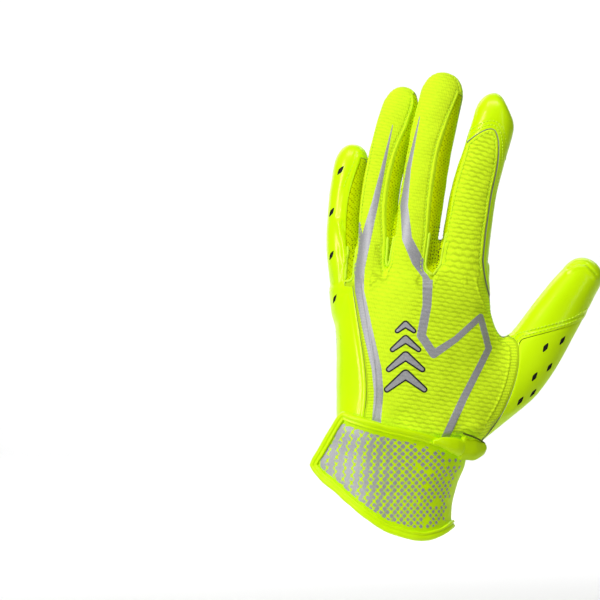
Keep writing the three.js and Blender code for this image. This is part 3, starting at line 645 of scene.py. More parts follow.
class Patch:
    """Triangles with values at their points."""

    def __init__(self, points, faces, data):
        self.points = points
        self.faces = faces
        self.data = data

    def tidy(self):
        """Drops the points that no face uses."""
        used, index = np.unique(self.faces, return_inverse=True)
        self.faces = index.reshape(-1, 3)
        self.points = self.points[used]
        self.data = {name: values[used] for name, values in self.data.items()}
        return self

    def crossings(self, side):
        """The faces in which side changes its sign, each with its lone corner first, and the edges."""
        over = side > 0
        count = over[self.faces].sum(1)
        mixed = self.faces[(count == 1) | (count == 2)]
        lone = over[mixed] == (over[mixed].sum(1) == 1)[:, None]
        turn = lone.argmax(1)
        rows = np.arange(len(mixed))
        a, b, c = (mixed[rows, (turn + k) % 3] for k in range(3))
        pairs = np.sort(np.concatenate([np.stack([a, b], 1), np.stack([a, c], 1)]), axis=1)
        edges, index = np.unique(pairs, axis=0, return_inverse=True)
        share = (side[edges[:, 0]] / (side[edges[:, 0]] - side[edges[:, 1]]))[:, None]
        return count, (a, b, c), edges, index.reshape(2, -1), share

    def cut(self, side):
        """The part where side is over 0, and the rest, with a shared edge between them."""
        side = np.where(np.abs(side) < 1e-3, 1e-3, side)
        over = side > 0
        count, (a, b, c), edges, index, share = self.crossings(side)
        ab, ac = index + len(self.points)

        def both(values):
            flat = values.reshape(len(values), -1)
            made = flat[edges[:, 0]] * (1 - share) + flat[edges[:, 1]] * share
            return np.concatenate([flat, made]).reshape((-1,) + values.shape[1:])

        points = both(self.points)
        data = {name: both(values) for name, values in self.data.items()}
        data["normal"] = unit(data["normal"])
        tip = np.stack([a, ab, ac], 1)
        rest = np.concatenate([np.stack([ab, b, c], 1), np.stack([ab, c, ac], 1)])
        alone_in = over[a]
        rest_in = np.concatenate([alone_in, alone_in])
        whole = self.faces[count == 3]
        none = self.faces[count == 0]
        inner = np.concatenate([whole, tip[alone_in], rest[~rest_in]])
        outer = np.concatenate([none, tip[~alone_in], rest[rest_in]])
        return Patch(points, inner, dict(data)).tidy(), Patch(points, outer, dict(data)).tidy()

    def finer(self, near):
        """A copy in which each face with a corner near is split in four."""
        split = near[self.faces].any(1)
        a, b, c = self.faces[split].T
        sides = np.stack([np.stack([a, b], 1), np.stack([b, c], 1), np.stack([c, a], 1)], 1)
        pairs, index = np.unique(np.sort(sides.reshape(-1, 2), axis=1), axis=0, return_inverse=True)
        ab, bc, ca = (index.reshape(-1, 3) + len(self.points)).T

        def both(values):
            return np.concatenate([values, (values[pairs[:, 0]] + values[pairs[:, 1]]) / 2])

        data = {name: both(values) for name, values in self.data.items()}
        data["normal"] = unit(data["normal"])
        parts = [(a, ab, ca), (ab, b, bc), (ca, bc, c), (ab, bc, ca)]
        faces = np.concatenate([self.faces[~split]] + [np.stack(part, 1) for part in parts])
        return Patch(both(self.points), faces, data)

    def rim(self):
        """The directed edges that only one triangle has."""
        a = self.faces[:, [0, 1, 2]].ravel()
        b = self.faces[:, [1, 2, 0]].ravel()
        size = len(self.points)
        ahead = a.astype(np.int64) * size + b
        back = b.astype(np.int64) * size + a
        free = ~np.isin(ahead, back)
        return np.stack([a[free], b[free]], 1)

    def skirt(self, depth):
        """A strip that hangs inwards from the rim, so the piece shows a thickness."""
        rim = self.rim()
        used, index = np.unique(rim, return_inverse=True)
        index = index.reshape(-1, 2)
        top = self.points[used]
        inner = top - self.data["normal"][used] * depth
        size = len(used)
        a, b = index.T
        faces = np.concatenate([np.stack([b, a, a + size], 1), np.stack([b, a + size, b + size], 1)])
        data = {"normal": np.concatenate([self.data["normal"][used]] * 2)}
        return Patch(np.concatenate([top, inner]), faces, data)

    def contours(self, side):
        """Lines on the patch where side is 0, as lists of points."""
        side = np.where(np.abs(side) < 1e-4, 1e-4, side)
        edges, index, share = self.crossings(side)[2:]
        points = self.points[edges[:, 0]] * (1 - share) + self.points[edges[:, 1]] * share
        links = {}
        for one, two in index.T:
            links.setdefault(int(one), []).append(int(two))
            links.setdefault(int(two), []).append(int(one))
        lines = []
        left = set(links)
        starts = [n for n in links if len(links[n]) == 1] + list(links)
        for start in starts:
            if start not in left:
                continue
            line = [start]
            left.discard(start)
            here = start
            while True:
                ahead = [n for n in links[here] if n in left]
                if not ahead:
                    break
                here = ahead[0]
                left.discard(here)
                line.append(here)
            if len(line) > 3:
                if line[0] in links[line[-1]]:
                    line.append(line[0])
                lines.append(points[line])
        return lines


def ripple(points, length, seed):
    """A smooth uneven value from -1 to 1 that changes over about the given length."""
    rng = np.random.default_rng(seed)
    total = np.zeros(len(points))
    for _ in range(7):
        way = unit(rng.normal(size=3)) * 2 * math.pi / (length * rng.uniform(0.7, 1.5))
        total += np.sin(points @ way + rng.uniform(0, 6.3))
    return total / 3.2


def polygon_distance(x, z, outline):
    """Signed distance in the front view from a closed outline, more than 0 inside."""
    best = np.full(len(x), 1e9)
    inside = np.zeros(len(x), bool)
    for (x0, z0), (x1, z1) in zip(outline, np.roll(outline, -1, axis=0)):
        dx, dz = x1 - x0, z1 - z0
        share = np.clip(((x - x0) * dx + (z - z0) * dz) / (dx * dx + dz * dz), 0, 1)
        best = np.minimum(best, np.hypot(x - x0 - share * dx, z - z0 - share * dz))
        if z1 != z0:
            crossing = ((z0 > z) != (z1 > z)) & (x < x0 + (z - z0) * dx / (z1 - z0))
            inside ^= crossing
    return np.where(inside, best, -best)


def rounded(outline, rounds=2):
    """An outline with its corners cut smooth."""
    for _ in range(rounds):
        after = np.roll(outline, -1, axis=0)
        outline = np.stack([outline * 0.75 + after * 0.25, outline * 0.25 + after * 0.75], 1)
        outline = outline.reshape(-1, 2)
    return outline


def hand_outline(rows):
    """A panel's outline in the front view, in millimetres."""
    return rounded(
        np.stack([rows["across"] * PALM_WIDTH, CUFF_HEIGHT + rows["up"] * PALM_LENGTH], 1)
    )


BACK_LINE = hand_outline(BACK_OUTLINE)
THUMB_LINE = hand_outline(THUMB_OUTLINE)
ARCH_LINE = rounded(np.stack([INDEX_ARCH["across"], INDEX_ARCH["up"]], 1))


class Places:
    """Where surface points lie on the glove, for its seams and its prints."""

    def __init__(self, points):
        self.points = points
        self.x, self.y, self.z = points.T
        self.middle = hand_middle(self.x, self.z)
        self.fingers = []
        for i, tube in enumerate(TUBES):
            u, v, w, share = tube.local(points)
            roll = math.radians(FINGERS["roll"][i])
            side = u * math.cos(roll) - v * math.sin(roll)
            back = v * math.cos(roll) + u * math.sin(roll)
            near = 4.5 - np.abs(tube.distance(points))
            self.fingers.append(dict(u=u, v=v, side=side, back=back, share=share, past=w, near=near))

    def gusset(self, i):
        """More than 0 on the gusset between finger i and the next."""
        both = []
        for index, sign in ((i, 1), (i + 1, -1)):
            place = self.fingers[index]
            length = FINGERS["reach"][index] * FINGER_LENGTH
            share = place["share"] + place["past"] / length
            half = GUSSET_WIDTH / 2 * np.clip(1 - np.maximum(share - 0.5, 0) ** 2 * 4, 0.3, 1)
            end = np.minimum((0.9 - share) * length, (share + 0.08) * length)
            width = half - np.abs(place["back"])
            both.append(np.minimum.reduce([width, sign * place["side"] * 3, end, place["near"] * 3]))
        one, two = self.fingers[i], self.fingers[i + 1]
        across = np.minimum(one["u"] * 3, -two["u"] * 3)
        level = (one["v"] + two["v"]) / 2
        root = CROTCH + (FINGERS["crotch"][i] + FINGERS["crotch"][i + 1]) * PALM_LENGTH / 2
        web = np.minimum(self.z - root + 8.5, root + 9.0 - self.z)
        both.append(np.minimum.reduce([across, GUSSET_WIDTH * 0.42 - np.abs(level), web]))
        return np.maximum.reduce(both)

    def arch(self):
        """Distance inside the knit's arch on the index finger, seen along the finger's back."""
        place = self.fingers[3]
        wide = 2 * TUBES[3].at(TUBES[3].widths, place["share"])
        length = FINGERS["reach"][3] * FINGER_LENGTH
        share = place["share"] + place["past"] / length
        scale = np.array([1.0, length / 24.0])
        return polygon_distance(place["u"] / wide, share * scale[1], ARCH_LINE * scale) * 24.0

    def knit(self):
        """More than 0 on the knit back."""
        front = self.middle - self.y
        best = np.minimum(polygon_distance(self.x, self.z, BACK_LINE), front)
        for index in (1, 2):
            place = self.fingers[index]
            root = (place["share"] + 0.1) * 60
            best = np.maximum(best, np.minimum.reduce([-place["back"], place["near"], root]))
        place = self.fingers[3]
        arch = self.arch()
        return np.maximum(best, np.minimum.reduce([arch, -place["v"], place["near"] * 2]))

    def knit_edge(self):
        """How far inside the knit's own edge points lie."""
        edge = np.maximum(self.knit(), 0)
        for i in range(3):
            edge = np.minimum(edge, np.maximum(-self.gusset(i), 0))
        return edge

    def thumb(self):
        """More than 0 on the thumb's vented back."""
        through = THUMB_TUBE.local(self.points)[1]
        return np.minimum(polygon_distance(self.x, self.z, THUMB_LINE), THUMB_DEPTH * 0.08 - through)


def surface_object(name, patch, material):
    """A Blender object from a patch in millimetres."""
    mesh = bpy.data.meshes.new(name)
    count, faces = len(patch.points), len(patch.faces)
    mesh.vertices.add(count)
    mesh.vertices.foreach_set("co", (patch.points * MM).astype(np.float32).ravel())
    mesh.loops.add(faces * 3)
    mesh.loops.foreach_set("vertex_index", patch.faces.astype(np.int32).ravel())
    mesh.polygons.add(faces)
    mesh.polygons.foreach_set("loop_start", np.arange(0, faces * 3, 3, dtype=np.int32))
    mesh.polygons.foreach_set("loop_total", np.full(faces, 3, np.int32))
    mesh.update(calc_edges=True)
    # The knit's painted rib shading is kept as a point attribute
    if "relief" in patch.data:
        layer = mesh.attributes.new("relief", "FLOAT", "POINT")
        layer.data.foreach_set("value", patch.data["relief"].astype(np.float32))
    mesh.validate()
    mesh.shade_smooth()
    mesh.materials.append(material)
    piece = bpy.data.objects.new(name, mesh)
    bpy.context.scene.collection.objects.link(piece)
    return piece


def joined(patches):
    """One patch from several."""
    points, faces, normals = [], [], []
    start = 0
    for patch in patches:
        points.append(patch.points)
        faces.append(patch.faces + start)
        normals.append(patch.data["normal"])
        start += len(patch.points)
    return Patch(np.concatenate(points), np.concatenate(faces), {"normal": np.concatenate(normals)})


def dressed(piece, slot, *nodes):
    """Puts a piece on the frame: its body and the nodes that it stands for, which it hides; slot, its
    finish, is not used.
    """
    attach(piece, "root")
    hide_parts(*nodes)


def add_piece(name, patch, material, slot, node):
    """A piece of the glove from its patch."""
    dressed(surface_object(name, patch, material), slot, node)


# Spacing of the surfaces' points, and the lining's lower end
KNIT_STEP = 0.5
LEATHER_STEP = 0.8
LINING_STEP = 2.2
LINING_LOW = 33.4
# Surfaces made so far, so that pieces that share one are cut from it once
MADE = {}


def panels():
    """The glove's outer surface, cut along its seams."""
    if MADE:
        return MADE

    def sides(points):
        places = Places(points)
        return places.knit(), np.maximum.reduce([places.gusset(i) for i in range(3)])

    def near_knit(points):
        knit, gusset = sides(points)
        return (knit > -4.5) & (gusset < 4.5)

    def near_rest(points):
        knit, gusset = sides(points)
        return (knit < 4.5) | (gusset > -4.5)

    fine = net(glove_distance, SPACE_LOW, SPACE_HIGH, KNIT_STEP, near_knit)
    rest = net(glove_distance, SPACE_LOW, SPACE_HIGH, LEATHER_STEP, near_rest)
    knit, gusset = sides(fine.points)
    knit = fine.cut(np.minimum(knit, -gusset))[0]
    gussets = []
    for i in range(3):
        part, rest = rest.cut(Places(rest.points).gusset(i))
        gussets.append(part)
    rest = rest.cut(-Places(rest.points).knit())[0]
    thumb, palm = rest.cut(Places(rest.points).thumb())
    MADE.update(gussets=gussets, knit=knit, thumb=thumb, palm=palm)
    return MADE


class Nodes:
    """Short calls for a material's nodes."""

    def __init__(self, name):
        self.material = bpy.data.materials.new(name)
        self.material.use_nodes = True
        self.tree = self.material.node_tree
        self.shader = self.tree.nodes["Principled BSDF"]

    def add(self, kind, **settings):
        """A new node with its settings."""
        node = self.tree.nodes.new(kind)
        for name, value in settings.items():
            setattr(node, name, value)
        return node

    def link(self, source, target):
        """A wire from one socket to another."""
        self.tree.links.new(source, target)

    def where(self, turn=(0.0, 0.0, 0.0)):
        """Places in the object's own frame, turned."""
        coords = self.add("ShaderNodeTexCoord")
        mapping = self.add("ShaderNodeMapping")
        mapping.inputs["Rotation"].default_value = turn
        self.link(coords.outputs["Object"], mapping.inputs["Vector"])
        return mapping.outputs["Vector"]

    def noise(self, scale, detail=3.0, rough=0.5):
        """Cloudy noise with features of about 1 / scale metres."""
        node = self.add("ShaderNodeTexNoise")
        node.inputs["Scale"].default_value = scale
        node.inputs["Detail"].default_value = detail
        node.inputs["Roughness"].default_value = rough
        self.link(self.where(), node.inputs["Vector"])
        return node.outputs["Fac"]

    def ramp(self, value, *stops):
        """A colour that changes with a value, between stops."""
        node = self.add("ShaderNodeValToRGB")
        elements = node.color_ramp.elements
        while len(elements) < len(stops):
            elements.new(0.5)
        for element, (position, colour) in zip(elements, stops):
            element.position = position
            element.color = (*colour, 1.0)
        self.link(value, node.inputs["Fac"])
        return node.outputs["Color"]

    def spread(self, value, low, high, to_low, to_high):
        """A value brought from one range to another."""
        node = self.add("ShaderNodeMapRange")
        node.inputs["From Min"].default_value = low
        node.inputs["From Max"].default_value = high
        node.inputs["To Min"].default_value = to_low
        node.inputs["To Max"].default_value = to_high
        self.link(value, node.inputs["Value"])
        return node.outputs["Result"]

    def sum(self, one, two, share):
        """One value and a share of another."""
        node = self.add("ShaderNodeMath", operation="MULTIPLY_ADD")
        self.link(two, node.inputs[0])
        node.inputs[1].default_value = share
        self.link(one, node.inputs[2])
        return node.outputs[0]

    def bump(self, height, depth_mm, strength):
        """Fine relief of a depth in millimetres."""
        node = self.add("ShaderNodeBump")
        node.inputs["Strength"].default_value = strength
        node.inputs["Distance"].default_value = depth_mm * MM
        self.link(height, node.inputs["Height"])
        self.link(node.outputs["Normal"], self.shader.inputs["Normal"])


def set_shader(nodes, values):
    """Constant values, set on the shader's own sockets."""
    for name, value in values.items():
        nodes.shader.inputs[name].default_value = value


def shade(colour, share):
    """A colour made darker or lighter."""
    return tuple(c * share for c in colour)


def painted_emission(colour, share):
    """Painted glow: emission that lights a fluorescent colour without a lamp, low enough to read as colour.
    """
    return {"Emission Color": (*colour, 1.0), "Emission Strength": share}


def knit_material(colour):
    """Matt yarn, with painted shade between its ribs and painted light on their ridges, read from the
    knit's relief shading.
    """
    nodes = Nodes("knit")
    relief = nodes.add("ShaderNodeAttribute", attribute_name="relief").outputs["Fac"]
    grain = nodes.noise(1300.0, 2.0, 0.6)
    cloud = nodes.noise(45.0, 2.0)
    yarn = nodes.add("ShaderNodeTexWave", wave_type="BANDS", bands_direction="X")
    yarn.inputs["Scale"].default_value = 260.0
    yarn.inputs["Distortion"].default_value = 3.0
    yarn.inputs["Detail"].default_value = 1.0
    nodes.link(nodes.where(turn=(0.0, 0.25, 0.0)), yarn.inputs["Vector"])
    # Painted shade and light of the ribs, with a random grain and cloud, pick the yarn's colour
    tone = nodes.sum(nodes.sum(relief, grain, 0.5), cloud, 0.2)
    nodes.link(
        nodes.ramp(tone, (0.3, shade(colour, 0.6)), (0.7, shade(colour, 0.88)), (1.0, colour)),
        nodes.shader.inputs["Base Color"],
    )
    nodes.bump(nodes.sum(grain, yarn.outputs["Fac"], 0.5), 0.2, 0.8)
    nodes.link(nodes.spread(grain, 0.3, 0.7, 0.7, 0.9), nodes.shader.inputs["Roughness"])
    set_shader(nodes, {"Sheen Weight": 0.12, "Sheen Roughness": 0.5, "Specular IOR Level": 0.15})
    set_shader(nodes, {"Sheen Tint": (*colour, 1.0), "Specular Tint": (*colour, 1.0)})
    # Painted glow: emission lights the knit without a lamp
    set_shader(nodes, painted_emission(colour, 0.12))
    return nodes.material


def leather_material(name, colour, rough, coat, grain_depth):
    """Smooth synthetic leather with a faint grain."""
    nodes = Nodes(name)
    grain = nodes.noise(900.0, 4.0, 0.55)
    cloud = nodes.noise(28.0, 3.0)
    nodes.link(
        nodes.ramp(cloud, (0.3, shade(colour, 0.93)), (0.7, colour)), nodes.shader.inputs["Base Color"]
    )
    smear = nodes.noise(70.0, 3.0, 0.6)
    nodes.link(nodes.spread(smear, 0.3, 0.7, rough - 0.05, rough + 0.07), nodes.shader.inputs["Roughness"])
    nodes.bump(nodes.sum(grain, cloud, 2.5), grain_depth, 0.6)
    set_shader(nodes, {"Coat Weight": coat, "Coat Roughness": 0.16, "Specular IOR Level": 0.5})
    set_shader(nodes, {"Specular Tint": (0.9, 1.0, 0.2, 1.0), "Coat Tint": (0.95, 1.0, 0.5, 1.0)})
    # Painted glow: emission lights the leather without a lamp
    set_shader(nodes, painted_emission(colour, 0.07))
    return nodes.material


def mesh_material(colour):
    """Stretch mesh with small dark cells."""
    nodes = Nodes("gusset_mesh")
    cells = nodes.add("ShaderNodeTexVoronoi", feature="F1", distance="CHEBYCHEV")
    cells.inputs["Scale"].default_value = 820.0
    cells.inputs["Randomness"].default_value = 0.15
    nodes.link(nodes.where(turn=(0.0, 0.78, 0.3)), cells.inputs["Vector"])
    nodes.link(
        nodes.ramp(cells.outputs["Distance"], (0.12, shade(colour, 0.45)), (0.4, colour)),
        nodes.shader.inputs["Base Color"],
    )
    nodes.bump(cells.outputs["Distance"], 0.3, 0.9)
    set_shader(nodes, {"Roughness": 0.8, "Sheen Weight": 0.2, "Specular IOR Level": 0.25})
    set_shader(nodes, {"Sheen Tint": (*colour, 1.0), "Specular Tint": (*colour, 1.0)})
    # Painted glow: emission lights the mesh without a lamp
    set_shader(nodes, painted_emission(colour, 0.04))
    return nodes.material


def silver_material(colour):
    """Silver film print with a fine grain."""
    nodes = Nodes("silver_print")
    grain = nodes.noise(2600.0, 2.0, 0.7)
    nodes.link(
        nodes.ramp(grain, (0.3, shade(colour, 0.68)), (0.7, shade(colour, 1.2))),
        nodes.shader.inputs["Base Color"],
    )
    nodes.bump(grain, 0.05, 0.6)
    nodes.link(nodes.spread(grain, 0.3, 0.7, 0.42, 0.6), nodes.shader.inputs["Roughness"])
    set_shader(nodes, {"Metallic": 0.35, "Specular IOR Level": 0.5})
    return nodes.material


def plain_material(name, colour, rough, grain_mm=0.03, scale=1400.0, painted_glow=0.0, sheen=0.0):
    """One colour with a fine grain, a little painted glow from emission, and sheen where given."""
    nodes = Nodes(name)
    grain = nodes.noise(scale, 3.0)
    nodes.link(
        nodes.ramp(grain, (0.3, shade(colour, 0.9)), (0.7, colour)), nodes.shader.inputs["Base Color"]
    )
    nodes.link(nodes.spread(grain, 0.3, 0.7, rough - 0.06, rough + 0.06), nodes.shader.inputs["Roughness"])
    nodes.bump(grain, grain_mm, 0.7)
    set_shader(nodes, {"Sheen Weight": sheen, "Specular IOR Level": 0.4})
    set_shader(nodes, painted_emission(colour, painted_glow))
    return nodes.material


# The knit's rows and scallops, and the ladder band and rolled edge beside its seams
ROW_PITCH = 2.3
FINGER_ROW_PITCH = 1.75
ROW_SLOPE = 0.16
SCALLOP_LENGTH = 4.8
KNIT_DEPTH = 0.38
LADDER_WIDTH = 4.7
LADDER_PITCH = 1.55
LADDER_DEPTH = 0.34
LIP_HEIGHT = 0.5
ROLL_WIDTH = 1.7
# The knit is ribbed more strongly to the thumb's side of this line
RIBBED = table("height from_x", (50, 0), (90, 5), (130, 12), (150, 30), (250, 46))


def knit_rows(places):
    """The number of knit rows below a point, counted up the hand and then along each finger."""
    phase = (places.z + ROW_SLOPE * places.x) / ROW_PITCH
    for i in (1, 2, 3):
        place = places.fingers[i]
        length = FINGERS["reach"][i] * FINGER_LENGTH
        root = CROTCH + FINGERS["crotch"][i] * PALM_LENGTH
        along = place["share"] * length + place["past"]
        pitch = ROW_PITCH if i == 3 else FINGER_ROW_PITCH
        share = smoothstep(-0.12, 0.16, place["share"]) * smoothstep(0.0, 3.0, place["near"])
        phase = phase * (1 - share) + (root / ROW_PITCH + along / pitch) * share
    return phase


def knit_relief(places, edge):
    """Height of the knit, and a tone that paints shade into its grooves, seams and edges and light onto its
    ridges, ladder rungs and lip: scalloped rows, rolled finger edges, ladder bands down the hand.
    """
    phase = knit_rows(places)
    row = np.floor(phase)
    turn = 2 * math.pi * (places.x / SCALLOP_LENGTH + row / 2)
    uneven = ripple(places.points, 7.0, 11)
    ridge = 0.5 + 0.5 * np.cos(2 * math.pi * (phase + 0.1 * np.cos(turn) + 0.06 * uneven))
    rows = ridge**1.2 * (0.84 + 0.16 * np.sin(turn + 0.6)) + 0.1 * uneven
    ribbed = smoothstep(-5, 5, places.x - read(RIBBED, "height", "from_x", places.z))
    rows = 0.55 + (rows - 0.55) * (0.45 + 0.55 * ribbed)
    on_finger = smoothstep(CROTCH - 12, CROTCH - 4, places.z)
    roll = np.exp(-(((edge - ROLL_WIDTH * 0.55) / 0.5) ** 2)) * 0.55
    roll -= np.exp(-(((edge - ROLL_WIDTH) / 0.28) ** 2)) * 0.3
    ladder = 0.5 + 0.5 * np.cos(2 * math.pi * places.z / LADDER_PITCH)
    band = smoothstep(1.1, 1.5, edge) * (1 - smoothstep(LADDER_WIDTH - 0.5, LADDER_WIDTH, edge))
    reach = LADDER_WIDTH - on_finger * (LADDER_WIDTH - ROLL_WIDTH)
    inner = smoothstep(-0.3, 0.4, edge - reach)
    height = rows * KNIT_DEPTH * inner
    height += on_finger * roll
    lip = np.exp(-(((edge - LADDER_WIDTH - 0.5) / 0.55) ** 2))
    height += (1 - on_finger) * (band * ladder * LADDER_DEPTH + lip * LIP_HEIGHT)
    height -= 0.35 * np.exp(-edge / 0.7)
    height += 0.12 * ripple(places.points, 17.0, 21)
    height += 0.8 * ripple(places.points, 19.0, 31) * smoothstep(84, 60, places.z)
    # Painted light on the ladder's rungs and the lip, painted shade between them
    tone = on_finger * 0.85 + (1 - on_finger) * (0.02 + 0.75 * ladder * band + 0.9 * lip)
    # Painted shade along the roll's seam and the knit's edge
    seam = np.exp(-(((edge - reach) / 0.35) ** 2)) + np.exp(-edge / 0.4)
    return height, np.clip(inner * rows + (1 - inner) * tone - 0.5 * seam, 0, 1)


def pushed(patch, height):
    """Moves a patch out by a height at each point."""
    patch.points = patch.points + patch.data["normal"] * height[:, None]
    return patch


def raised(patch, height):
    """A copy of a patch, moved out by a height."""
    return Patch(patch.points + patch.data["normal"] * height, patch.faces, dict(patch.data))


def patch_wall(patch, depth):
    """The walls of a hole whose floor lies a depth below its rim."""
    wall = patch.skirt(depth)
    return Patch(wall.points, wall.faces[:, ::-1], wall.data)


def stroke(x, z, line):
    """More than 0 inside a stroke through (x, z, half width) points."""
    best = np.full(len(x), -1e9)
    for (x0, z0, r0), (x1, z1, r1) in zip(line, line[1:]):
        dx, dz = x1 - x0, z1 - z0
        share = np.clip(((x - x0) * dx + (z - z0) * dz) / (dx * dx + dz * dz), 0, 1)
        reach = np.hypot(x - x0 - share * dx, z - z0 - share * dz)
        best = np.maximum(best, r0 + (r1 - r0) * share - reach)
    return best


# Silver stripes down the back, as lines of (x, z, half width) in the front view
STRIPES = [
    [(0.5, 224, 0.2), (-4, 204, 0.9), (-9, 182, 1.8), (-14, 162, 2.6), (-17.5, 146, 2.7), (-17.5, 134, 2.4),
     (-13.5, 114, 2.6), (-8.5, 92, 2.6), (-7.4, 80, 2.5), (-8.6, 62, 2.3)],
    [(-17, 171, 0.2), (-16.6, 160, 1.3), (-17.5, 146, 2.0)],
    [(15, 228, 0.2), (9, 200, 1.2), (6.5, 180, 2.0), (8, 162, 2.6), (13.5, 150, 3.2), (19, 142, 2.8),
     (18.5, 126, 2.4), (15.4, 110, 2.4)],
    [(20.5, 170, 0.2), (19.5, 158, 1.2), (18, 147, 2.4)],
    [(15.4, 110, 2.4), (22, 100, 2.2), (34, 108, 1.7), (47.5, 120, 1.7), (52, 103, 1.8), (38, 76, 2.0),
     (26, 50, 2.3)],
]
# Nested chevrons in the middle of the back: height of the point, half width and half thickness
CHEVRONS = table("z half thick", (116, 4.5, 1.2), (108, 7.0, 1.5), (99, 9.0, 1.8), (89, 10.0, 2.0))
CHEVRON_X = 7.0
CHEVRON_RIM = 0.85


def chevron_side(x, z, grow):
    """More than 0 inside the chevrons, made wider by grow."""
    best = np.full(len(x), -1e9)
    for top, half, thick in zip(CHEVRONS["z"], CHEVRONS["half"], CHEVRONS["thick"]):
        line = [
            (CHEVRON_X - half, top - half * 0.8, thick * 0.45 + grow),
            (CHEVRON_X, top, thick + grow),
            (CHEVRON_X + half, top - half * 0.8, thick * 0.45 + grow),
        ]
        best = np.maximum(best, stroke(x, z, line))
    return best


def stitches(lines, pitch, length, radius, lift):
    """Short thread capsules along lines on the glove's surface."""
    spots, ways = [], []
    for line in lines:
        total = lengths(line)
        if total[-1] < pitch * 1.5:
            continue
        count = int(total[-1] / pitch)
        at = (np.arange(count) + 0.5) * total[-1] / count
        spots.append(along_line(line, total, at))
        ways.append(unit(along_line(line, total, at + 0.5) - along_line(line, total, at - 0.5)))
    if not spots:
        raise RuntimeError("the stitches have no line to follow")
    spots, ways = np.concatenate(spots), np.concatenate(ways)
    normals = unit(gradient(spots, glove_distance)[1])
    spots = spots + normals * lift
    sides = unit(np.cross(normals, ways))
    ring = [(-0.5, 0.3), (-0.34, 0.95), (0.34, 0.95), (0.5, 0.3)]
    around = 6
    shape = []
    for along, wide in ring:
        for k in range(around):
            turn = 2 * math.pi * k / around
            shape.append((along * length, wide * radius * math.cos(turn), wide * radius * math.sin(turn)))
    shape = np.array(shape + [(-0.54 * length, 0, 0), (0.54 * length, 0, 0)])
    faces = []
    for r in range(len(ring) - 1):
        for k in range(around):
            a, b = r * around + k, r * around + (k + 1) % around
            faces += [(a, b, b + around), (a, b + around, a + around)]
    last = (len(ring) - 1) * around
    for k in range(around):
        after = (k + 1) % around
        faces += [(after, k, len(shape) - 2), (last + k, last + after, len(shape) - 1)]
    faces = np.array(faces)
    points = (
        spots[:, None]
        + shape[None, :, :1] * ways[:, None]
        + shape[None, :, 1:2] * sides[:, None]
        + shape[None, :, 2:] * normals[:, None]
    )
    faces = (faces[None] + np.arange(len(spots))[:, None, None] * len(shape)).reshape(-1, 3)
    normal = np.repeat(normals, len(shape), axis=0)
    return Patch(points.reshape(-1, 3), faces, {"normal": normal})


# The wrist band, its strap and their edges
BAND_LIFT = BAND_THICKNESS + PATCH_THICKNESS + 2 * GAP


def band_round(turn, z):
    """Points on the wrist's own line, at turns in degrees and heights."""
    c, s = np.cos(np.radians(turn)), np.sin(np.radians(turn))
    up = z / CUFF_HEIGHT
    a = np.where(c > 0, read(WRIST, "up", "thumb", up), read(WRIST, "up", "ulnar", up)) * WRIST_WIDTH
    b = read(WRIST, "up", "depth", up) * WRIST_DEPTH
    power = 2 / WRIST_POWER
    return np.stack([np.sign(c) * np.abs(c) ** power * a, np.sign(s) * np.abs(s) ** power * b, z], 1)


def band_point(turn, out, z, lift):
    """Points on the band's middle surface, moved out by lift, and the directions along and out there."""
    along = unit(band_round(turn - 0.5, z) - band_round(turn + 0.5, z))
    normal = np.stack([-along[:, 1], along[:, 0], np.zeros(len(along))], 1)
    climb = smoothstep(15, -FLAP_TURN - 12, -turn) * BAND_LIFT
    point = band_round(turn, z) + normal * (climb + lift)[:, None] + along * out[:, None]
    return point, along, normal


def band_edges(step):
    """Stations along the band's way: turn, distance out along the flap, and the two edges' heights."""
    turns = np.linspace(258, FLAP_TURN, int(383 / step) + 1)
    outs = np.linspace(0, 1, int(24 / step) + 2)[1:]
    turn = np.concatenate([turns, np.full(len(outs), FLAP_TURN)])
    out = np.concatenate([np.zeros(len(turns)), outs * FLAP_LENGTH])
    top = np.concatenate(
        [
            read(BAND_ROUND, "turn", "top", turns) * CUFF_HEIGHT,
            CUFF_HEIGHT + read(BAND_FLAP, "out", "top", outs) * STRAP_RISE,
        ]
    )
    bottom = np.concatenate(
        [read(BAND_ROUND, "turn", "bottom", turns), read(BAND_FLAP, "out", "bottom", outs)]
    ) * CUFF_HEIGHT
    return turn, out, top, bottom


def band_patch(turn, out, top, bottom, thickness, rows, lift=0.0, puff=None):
    """A closed sheet on the band's way between two edges."""
    count = len(turn)
    steps = np.arange(rows + 1) / rows
    share = np.concatenate([steps, steps[::-1]])
    side = np.repeat([1.0, -1.0], rows + 1)
    wide = len(share)
    t = np.repeat(turn, wide)
    o = np.repeat(out, wide)
    s = np.tile(share, count)
    low, high = np.repeat(bottom, wide), np.repeat(top, wide)
    z = low + (high - low) * s
    height = np.tile(side, count) * thickness / 2 + lift
    if puff is not None:
        height = height + np.where(np.tile(side, count) > 0, puff(t, o, z, low, high), 0)
    points, _, normal = band_point(t, o, z, height)
    ends = []
    for start, turned in ((0, True), ((count - 1) * wide, False)):
        for k in range(rows):
            p, q = start + k, start + k + 1
            u, v = start + wide - 1 - k, start + wide - 2 - k
            pair = [(p, q, v), (p, v, u)]
            ends += [(a, c, b) if turned else (a, b, c) for a, b, c in pair]
    faces = np.concatenate([grid_faces(count, wide, True), np.array(ends)])
    return Patch(points, faces, {"normal": normal * np.tile(side, count)[:, None]})


def sweep(points, outward, normal, section):
    """A solid swept along points, with a section of (outward, normal) pairs that may differ by point."""
    count, around = section.shape[:2]
    ring = (
        points[:, None]
        + section[:, :, :1] * outward[:, None]
        + section[:, :, 1:] * normal[:, None]
    )
    spots = ring.reshape(-1, 3)
    ends = np.stack([ring[0].mean(0), ring[-1].mean(0)])
    k = np.arange(around)
    after = (k + 1) % around
    last = (count - 1) * around
    caps = np.concatenate(
        [
            np.stack([after, k, np.full(around, len(spots))], 1),
            np.stack([last + k, last + after, np.full(around, len(spots) + 1)], 1),
        ]
    )
    spots = np.concatenate([spots, ends])
    faces = np.concatenate([grid_faces(count, around, True), caps])
    return Patch(spots, faces, {"normal": np.zeros((len(spots), 3))})


BINDING_START = -13.0
HEM_START = 16.0


